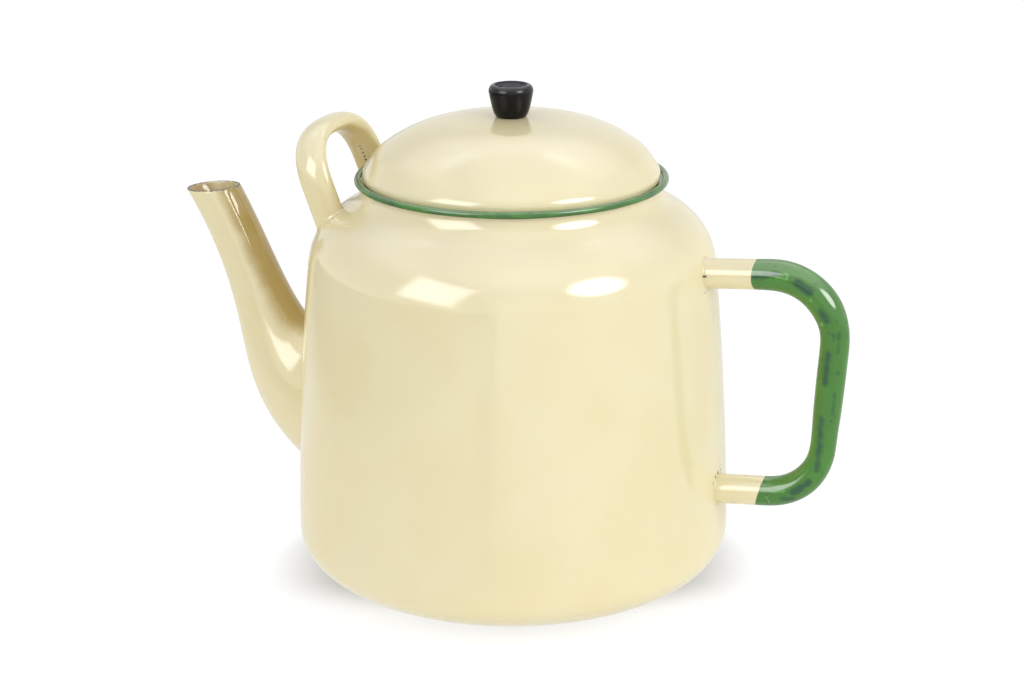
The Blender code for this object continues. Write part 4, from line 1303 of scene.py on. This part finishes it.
# %% Washer and screw
WASHER_RADIUS, WASHER_THICK, WASHER_HOLE = 6.5 * MM, 0.9 * MM, 2.3 * MM
WASHER_TOP = float(dome_height(WASHER_RADIUS)) - LID_SHEET - 0.05 * MM
SCREW_RADIUS, SCREW_HEAD, SCREW_HEAD_HIGH = 2.0 * MM, 3.8 * MM, 2.6 * MM
SCREW_REACH = 9.7 * MM
SCREW_TIP = LID_TOP + KNOB_GAP + SCREW_REACH
SLOT_WIDE, SLOT_DEEP = 1.1 * MM, 1.2 * MM


def washer_surface():
    """A flat ring with eased edges."""
    low = WASHER_TOP - WASHER_THICK
    corners = np.array([(WASHER_HOLE, low), (WASHER_RADIUS, low), (WASHER_RADIUS, WASHER_TOP),
                        (WASHER_HOLE, WASHER_TOP), (WASHER_HOLE, low)])
    line = evenly(corners, 0.12 * MM)[:-1]
    rolled = [np.roll(line, step, axis=0) for step in (-1, 0, 1)]
    return turned(sum(rolled) / 3.0, 64)


def screw_surface():
    """A domed head below, a shank with a rolled thread, and a tapered tip."""
    head_top = WASHER_TOP - WASHER_THICK
    dome = arc((0.0, head_top - 0.3 * MM), (SCREW_HEAD, SCREW_HEAD_HIGH - 0.3 * MM), -90, 0, 24)
    dome[0, 0] = 0.0
    rise = np.linspace(head_top + 1.2 * MM, SCREW_TIP - 1.0 * MM, 120)
    thread = SCREW_RADIUS - 0.14 * MM * (1.0 - np.cos(2.0 * np.pi * rise / (0.7 * MM)))
    shank = np.stack([thread, rise], axis=1)
    ends = [(SCREW_HEAD, head_top), (SCREW_RADIUS, head_top)]
    tip = [(SCREW_RADIUS / 2.0, SCREW_TIP), (0.0, SCREW_TIP)]
    return turned(np.vstack([dome, ends, shank, tip]), 64)


def plated_steel():
    """Dull zinc plate: turned grain, small stains from steam."""
    made, tree, shader, place = new_finish("plated_steel_dull", 1.5)
    shader.inputs["Metallic"].default_value = 1.0
    stain = between(tree, clouds(tree, place, 2.0 * MM, 4.0), 0.45, 0.70)
    colour = blended(tree, stain, (0.62, 0.62, 0.60), (0.40, 0.37, 0.32))
    rough = satin(tree, place, 0.9 * MM, 0.28, 0.46)
    grain = clouds(tree, place, 0.4 * MM, 2.0, (1.0, 1.0, 0.2))
    height = sums(tree, "MULTIPLY", grain, 0.006 * MM)
    return finished(made, tree, shader, colour, rough, height)


def slot_bar():
    """A bar that cuts the driver's slot across the head."""
    low = WASHER_TOP - WASHER_THICK - SCREW_HEAD_HIGH
    x, y = 2.0 * SCREW_HEAD, SLOT_WIDE / 2.0
    corners = np.array([(i, j, k) for i in (-x, x) for j in (-y, y)
                        for k in (low - 2.0 * MM, low + SLOT_DEEP)])
    faces = [(0, 1, 3, 2), (4, 6, 7, 5), (0, 4, 5, 1), (2, 3, 7, 6), (0, 2, 6, 4), (1, 5, 7, 3)]
    return new_object("slot_bar", corners, faces)


steel_finish = plated_steel()
add_piece("stud_washer", washer_surface(), steel_finish, "lid", "knob_washer")
stud_screw = add_piece("stud_screw", screw_surface(), steel_finish, "lid",
                       "knob_screw")
cut_from(stud_screw, slot_bar())

# %% [markdown]
# ## Floor, light and camera
#
# The photograph is a studio shot on a white sweep: a large soft light at the
# front left, a harder one high at the front right, two weak ones behind, a
# white backdrop and a ceiling. The floor shows white of its own, with a faint
# painted shadow beside the pot. The lamps give about one unit of light on the
# front, so that each colour shows about as it is written.

# %% The floor
CAMERA_TURN = math.radians(20.0)
FLOOR_GLOW, FLOOR_PAINT = 0.86, (0.25, 0.25, 0.25)
FLOOR_MIRRORED, FLOOR_DIM, FLOOR_BOUNCE = 0.85, 0.31, 0.20
SHADOW_REACH, SHADOW_LEAN = 31.0 * MM, 1.2
SHADOW_FRONT, SHADOW_WASHED = (15.0 * MM, 65.0 * MM), 0.86
FLOOR_HALF, FLOOR_DROP, MIRRORED_DIM_SPAN = 6.0, 0.4 * MM, (-0.60, -0.34)


def painted_soft_shadow(tree, place):
    """A painted shadow on the floor's glow: the pot's ambient occlusion, taken
    round a way that leans toward the camera, is 1 in the open and less close
    beside the pot. In front of the pot it is washed out."""
    made = tree.nodes.new("ShaderNodeAmbientOcclusion")
    made.samples = 16
    made.inputs["Distance"].default_value = SHADOW_REACH
    toward = Vector((math.sin(CAMERA_TURN), -math.cos(CAMERA_TURN), 0.0)) * SHADOW_LEAN
    way = tree.nodes.new("ShaderNodeCombineXYZ")
    for name, value in zip("XYZ", (toward + Vector((0.0, 0.0, 1.0))).normalized()):
        way.inputs[name].default_value = value
    feed(tree, made.inputs["Normal"], way.outputs[0])
    front = along(tree, place, CAMERA_TURN - math.pi / 2.0)
    washed = between(tree, front, *SHADOW_FRONT, 0.0, SHADOW_WASHED)
    return blended_numbers(tree, washed, made.outputs["AO"], 1.0)


def floor_finish():
    """To the camera: a glow that a painted soft shadow dims, plus a diffuse part for
    the lamps' own shadows. Mirrored: a white glow, dim to the left. To other
    light: pale paint and a little glow that lights the pot."""
    made = bpy.data.materials.new("floor_white")
    made.use_nodes = True
    tree = made.node_tree
    shader = tree.nodes["Principled BSDF"]
    place = tree.nodes.new("ShaderNodeTexCoord").outputs["Object"]
    path = tree.nodes.new("ShaderNodeLightPath").outputs
    across = along(tree, place, CAMERA_TURN)
    mirrored = between(tree, across, *MIRRORED_DIM_SPAN, FLOOR_DIM, FLOOR_MIRRORED)
    grain = between(tree, clouds(tree, place, 0.4, 2.0), 0.3, 0.7, 0.99, 1.0)
    paint = blended(tree, path["Is Camera Ray"], (0.80, 0.80, 0.80), FLOOR_PAINT)
    paint = blended(tree, path["Is Glossy Ray"], paint, (0, 0, 0))
    feed(tree, shader.inputs["Base Color"], paint)
    shader.inputs["Roughness"].default_value = 1.0
    shader.inputs["Specular IOR Level"].default_value = 0.0
    shader.inputs["Emission Color"].default_value = (1.0, 1.0, 1.0, 1.0)
    # The glow carries a painted shadow beside the pot.
    glow = sums(tree, "MULTIPLY", painted_soft_shadow(tree, place), FLOOR_GLOW)
    glow = sums(tree, "MULTIPLY", glow, grain)
    seen = sums(tree, "MULTIPLY", path["Is Camera Ray"], glow)
    shown = sums(tree, "MULTIPLY", path["Is Glossy Ray"], mirrored)
    lit = sums(tree, "MULTIPLY", path["Is Diffuse Ray"], FLOOR_BOUNCE)
    strength = sums(tree, "ADD", sums(tree, "ADD", seen, shown), lit)
    feed(tree, shader.inputs["Emission Strength"], strength)
    return made


def floor_sheet():
    """A level square under the pot."""
    u, v = np.meshgrid(np.linspace(-1.0, 1.0, 9), np.linspace(-1.0, 1.0, 9), indexing="ij")
    points = np.stack([u * FLOOR_HALF, v * FLOOR_HALF, np.full(u.shape, -FLOOR_DROP)], axis=-1)
    row, column = np.mgrid[0:8, 0:8]
    start = (row * 9 + column).ravel()
    faces = np.stack([start, start + 9, start + 10, start + 1], axis=1)
    floor = new_object("floor", points.reshape(-1, 3), faces.tolist())
    floor.data.materials.append(floor_finish())


floor_sheet()

# %% The camera
CAMERA_PITCH, CAMERA_ROLL = 0.301, 0.006
CAMERA_PLACE = (0.4538, -1.2475, 0.5414)
CAMERA_LENS, CAMERA_SENSOR = 92.18, 36.0


def camera_axes():
    """Right, up and backward of the camera: level turn, pitch down, small roll."""
    ca, sa = math.cos(CAMERA_TURN), math.sin(CAMERA_TURN)
    c, s = math.cos(CAMERA_PITCH), math.sin(CAMERA_PITCH)
    right = np.array([ca, sa, 0.0])
    forward = np.array([-sa * c, ca * c, -s])
    up = np.array([-sa * s, ca * s, c])
    cr, sr = math.cos(CAMERA_ROLL), math.sin(CAMERA_ROLL)
    return right * cr - up * sr, right * sr + up * cr, -forward


def add_camera():
    """The camera at the photograph's place."""
    data = bpy.data.cameras.new("camera")
    data.lens, data.sensor_width = CAMERA_LENS, CAMERA_SENSOR
    data.clip_start, data.clip_end = 0.05, 50.0
    camera = bpy.data.objects.new("camera", data)
    bpy.context.scene.collection.objects.link(camera)
    matrix = np.eye(4)
    matrix[:3, :3] = np.stack(camera_axes(), axis=1)
    matrix[:3, 3] = CAMERA_PLACE
    camera.matrix_world = Matrix(matrix.tolist())
    bpy.context.scene.camera = camera


add_camera()

# %% The lamps
LAMP_DISTANCE = 1.6
LAMP_TARGET = np.array([0.0, 0.0, 0.13])


def lamp_place(side, rise):
    """A place at LAMP_DISTANCE: side degrees to the right of the camera's own
    direction as seen from the pot, rise degrees above level."""
    azimuth = math.radians(side - 90.0) + CAMERA_TURN
    flat = math.cos(math.radians(rise))
    return LAMP_TARGET + LAMP_DISTANCE * np.array(
        [flat * math.cos(azimuth), flat * math.sin(azimuth), math.sin(math.radians(rise))])


def lamp_matrix(side, rise, lean):
    """Where a lamp stands and how it faces: its back looks away from the pot,
    its right side is level, and both are turned by lean degrees."""
    place = lamp_place(side, rise)
    back = (place - LAMP_TARGET) / np.linalg.norm(place - LAMP_TARGET)
    level = np.cross([0.0, 0.0, 1.0], back)
    level /= np.linalg.norm(level)
    turn = math.radians(lean)
    right = level * math.cos(turn) + np.cross(back, level) * math.sin(turn)
    matrix = np.eye(4)
    matrix[:3, :3] = np.stack([right, np.cross(back, right), back], axis=1)
    matrix[:3, 3] = place
    return Matrix(matrix.tolist())


def soften_lamp(data, edge):
    """A lamp that fades to its rim: light x smooth step of the gap to the rim
    over edge. The gap is 1 at the middle, and 0 on the rim."""
    data.use_nodes = True
    tree = data.node_tree
    spot = tree.nodes.new("ShaderNodeNewGeometry").outputs["Parametric"]
    across, up = [sums(tree, "MULTIPLY_ADD", value, 2.0, -1.0)
                  for value in parts_of(tree, spot)[:2]]
    if data.shape == "ELLIPSE":
        out = from_axis(tree, across, up)
    else:
        out = sums(tree, "MAXIMUM", sums(tree, "ABSOLUTE", across), sums(tree, "ABSOLUTE", up))
    glow = between(tree, sums(tree, "SUBTRACT", 1.0, out), 0.0, edge)
    feed(tree, tree.nodes["Emission"].inputs["Strength"], glow)


def add_lamp(name, shape, place, wide, high, shown, lit, edge):
    """A soft light as a pair of lamps: one is seen in the glaze, one lights
    the paint. An area lamp's radiance is its power over pi and its area."""
    area = wide * high * (math.pi / 4.0 if shape == "ELLIPSE" else 1.0)
    for purpose, radiance in (("mirrored", shown), ("lit", lit)):
        data = bpy.data.lights.new(name + "_" + purpose, "AREA")
        data.shape, data.size, data.size_y = shape, wide, high
        data.energy = radiance * math.pi * area
        lamp = bpy.data.objects.new(name + "_" + purpose, data)
        bpy.context.scene.collection.objects.link(lamp)
        lamp.matrix_world = lamp_matrix(*place)
        lamp.visible_camera = False
        lamp.visible_glossy = purpose == "mirrored"
        lamp.visible_diffuse = purpose == "lit"
        if purpose == "mirrored":
            soften_lamp(data, edge)


# Name, shape, (side, rise, lean) in degrees, width, height, light mirrored, light
# on the paint, soft rim.
add_lamp("left_front_box", "RECTANGLE", (-44.6, 24.0, -12.0), 1.19, 1.17, 5.4, 1.34, 0.42)
add_lamp("right_front_box", "ELLIPSE", (50.0, 29.0, 0.0), 1.06, 0.87, 9.8, 3.98, 0.34)
add_lamp("left_back_box", "ELLIPSE", (-141.0, 61.0, 0.0), 0.80, 0.36, 1.1, 0.0, 0.80)
add_lamp("right_back_box", "ELLIPSE", (142.0, 62.0, 0.0), 0.80, 0.36, 1.1, 0.0, 0.80)

# %% The room
# Each as (to diffuse light, mirrored in the enamel).
BACKDROP, CEILING, ROOM, CEILING_LOW = (1.0, 0.95), (0.33, 2.7), (1.0, 1.2), (0.66, 0.46)
CEILING_HIGH = 0.86
BACKDROP_EDGES, EDGE_SOFT = (-142.0, 122.0), (-0.05, 0.09)


def past_edge(tree, way, edge):
    """How far a direction is past an upright edge, on the side of the middle
    of the backdrop. Edges are in degrees to the right of the camera's side."""
    inward = math.radians(edge + math.copysign(90.0, edge) - 90.0) + CAMERA_TURN
    return along(tree, way, inward)


def room_light():
    """A world that is white to the camera. To other light it is a pale
    backdrop behind the pot, a dark ceiling and a dim room in front. Mirrored
    in the enamel the backdrop is white again."""
    world = bpy.data.worlds.new("room")
    bpy.context.scene.world = world
    world.use_nodes = True
    tree = world.node_tree
    ground = tree.nodes["Background"]
    way = tree.nodes.new("ShaderNodeTexCoord").outputs["Generated"]
    z = parts_of(tree, way)[2]
    path = tree.nodes.new("ShaderNodeLightPath").outputs
    back, top, front, low = [between(tree, path["Is Glossy Ray"], 0.0, 1.0, *pair)
                             for pair in (BACKDROP, CEILING, ROOM, CEILING_LOW)]
    inside = [between(tree, past_edge(tree, way, edge), *EDGE_SOFT) for edge in BACKDROP_EDGES]
    side = between(tree, sums(tree, "MULTIPLY", *inside), 0.0, 1.0, front, back)
    high = between(tree, z, low, CEILING_HIGH)
    light = sums(tree, "MULTIPLY", side, sums(tree, "SUBTRACT", 1.0, high))
    light = sums(tree, "ADD", light, sums(tree, "MULTIPLY", high, top))
    strength = sums(tree, "MAXIMUM", light, path["Is Camera Ray"])
    ground.inputs["Color"].default_value = (1.0, 1.0, 1.0, 1.0)
    feed(tree, ground.inputs["Strength"], strength)


room_light()
bpy.context.scene.view_settings.view_transform = "Standard"
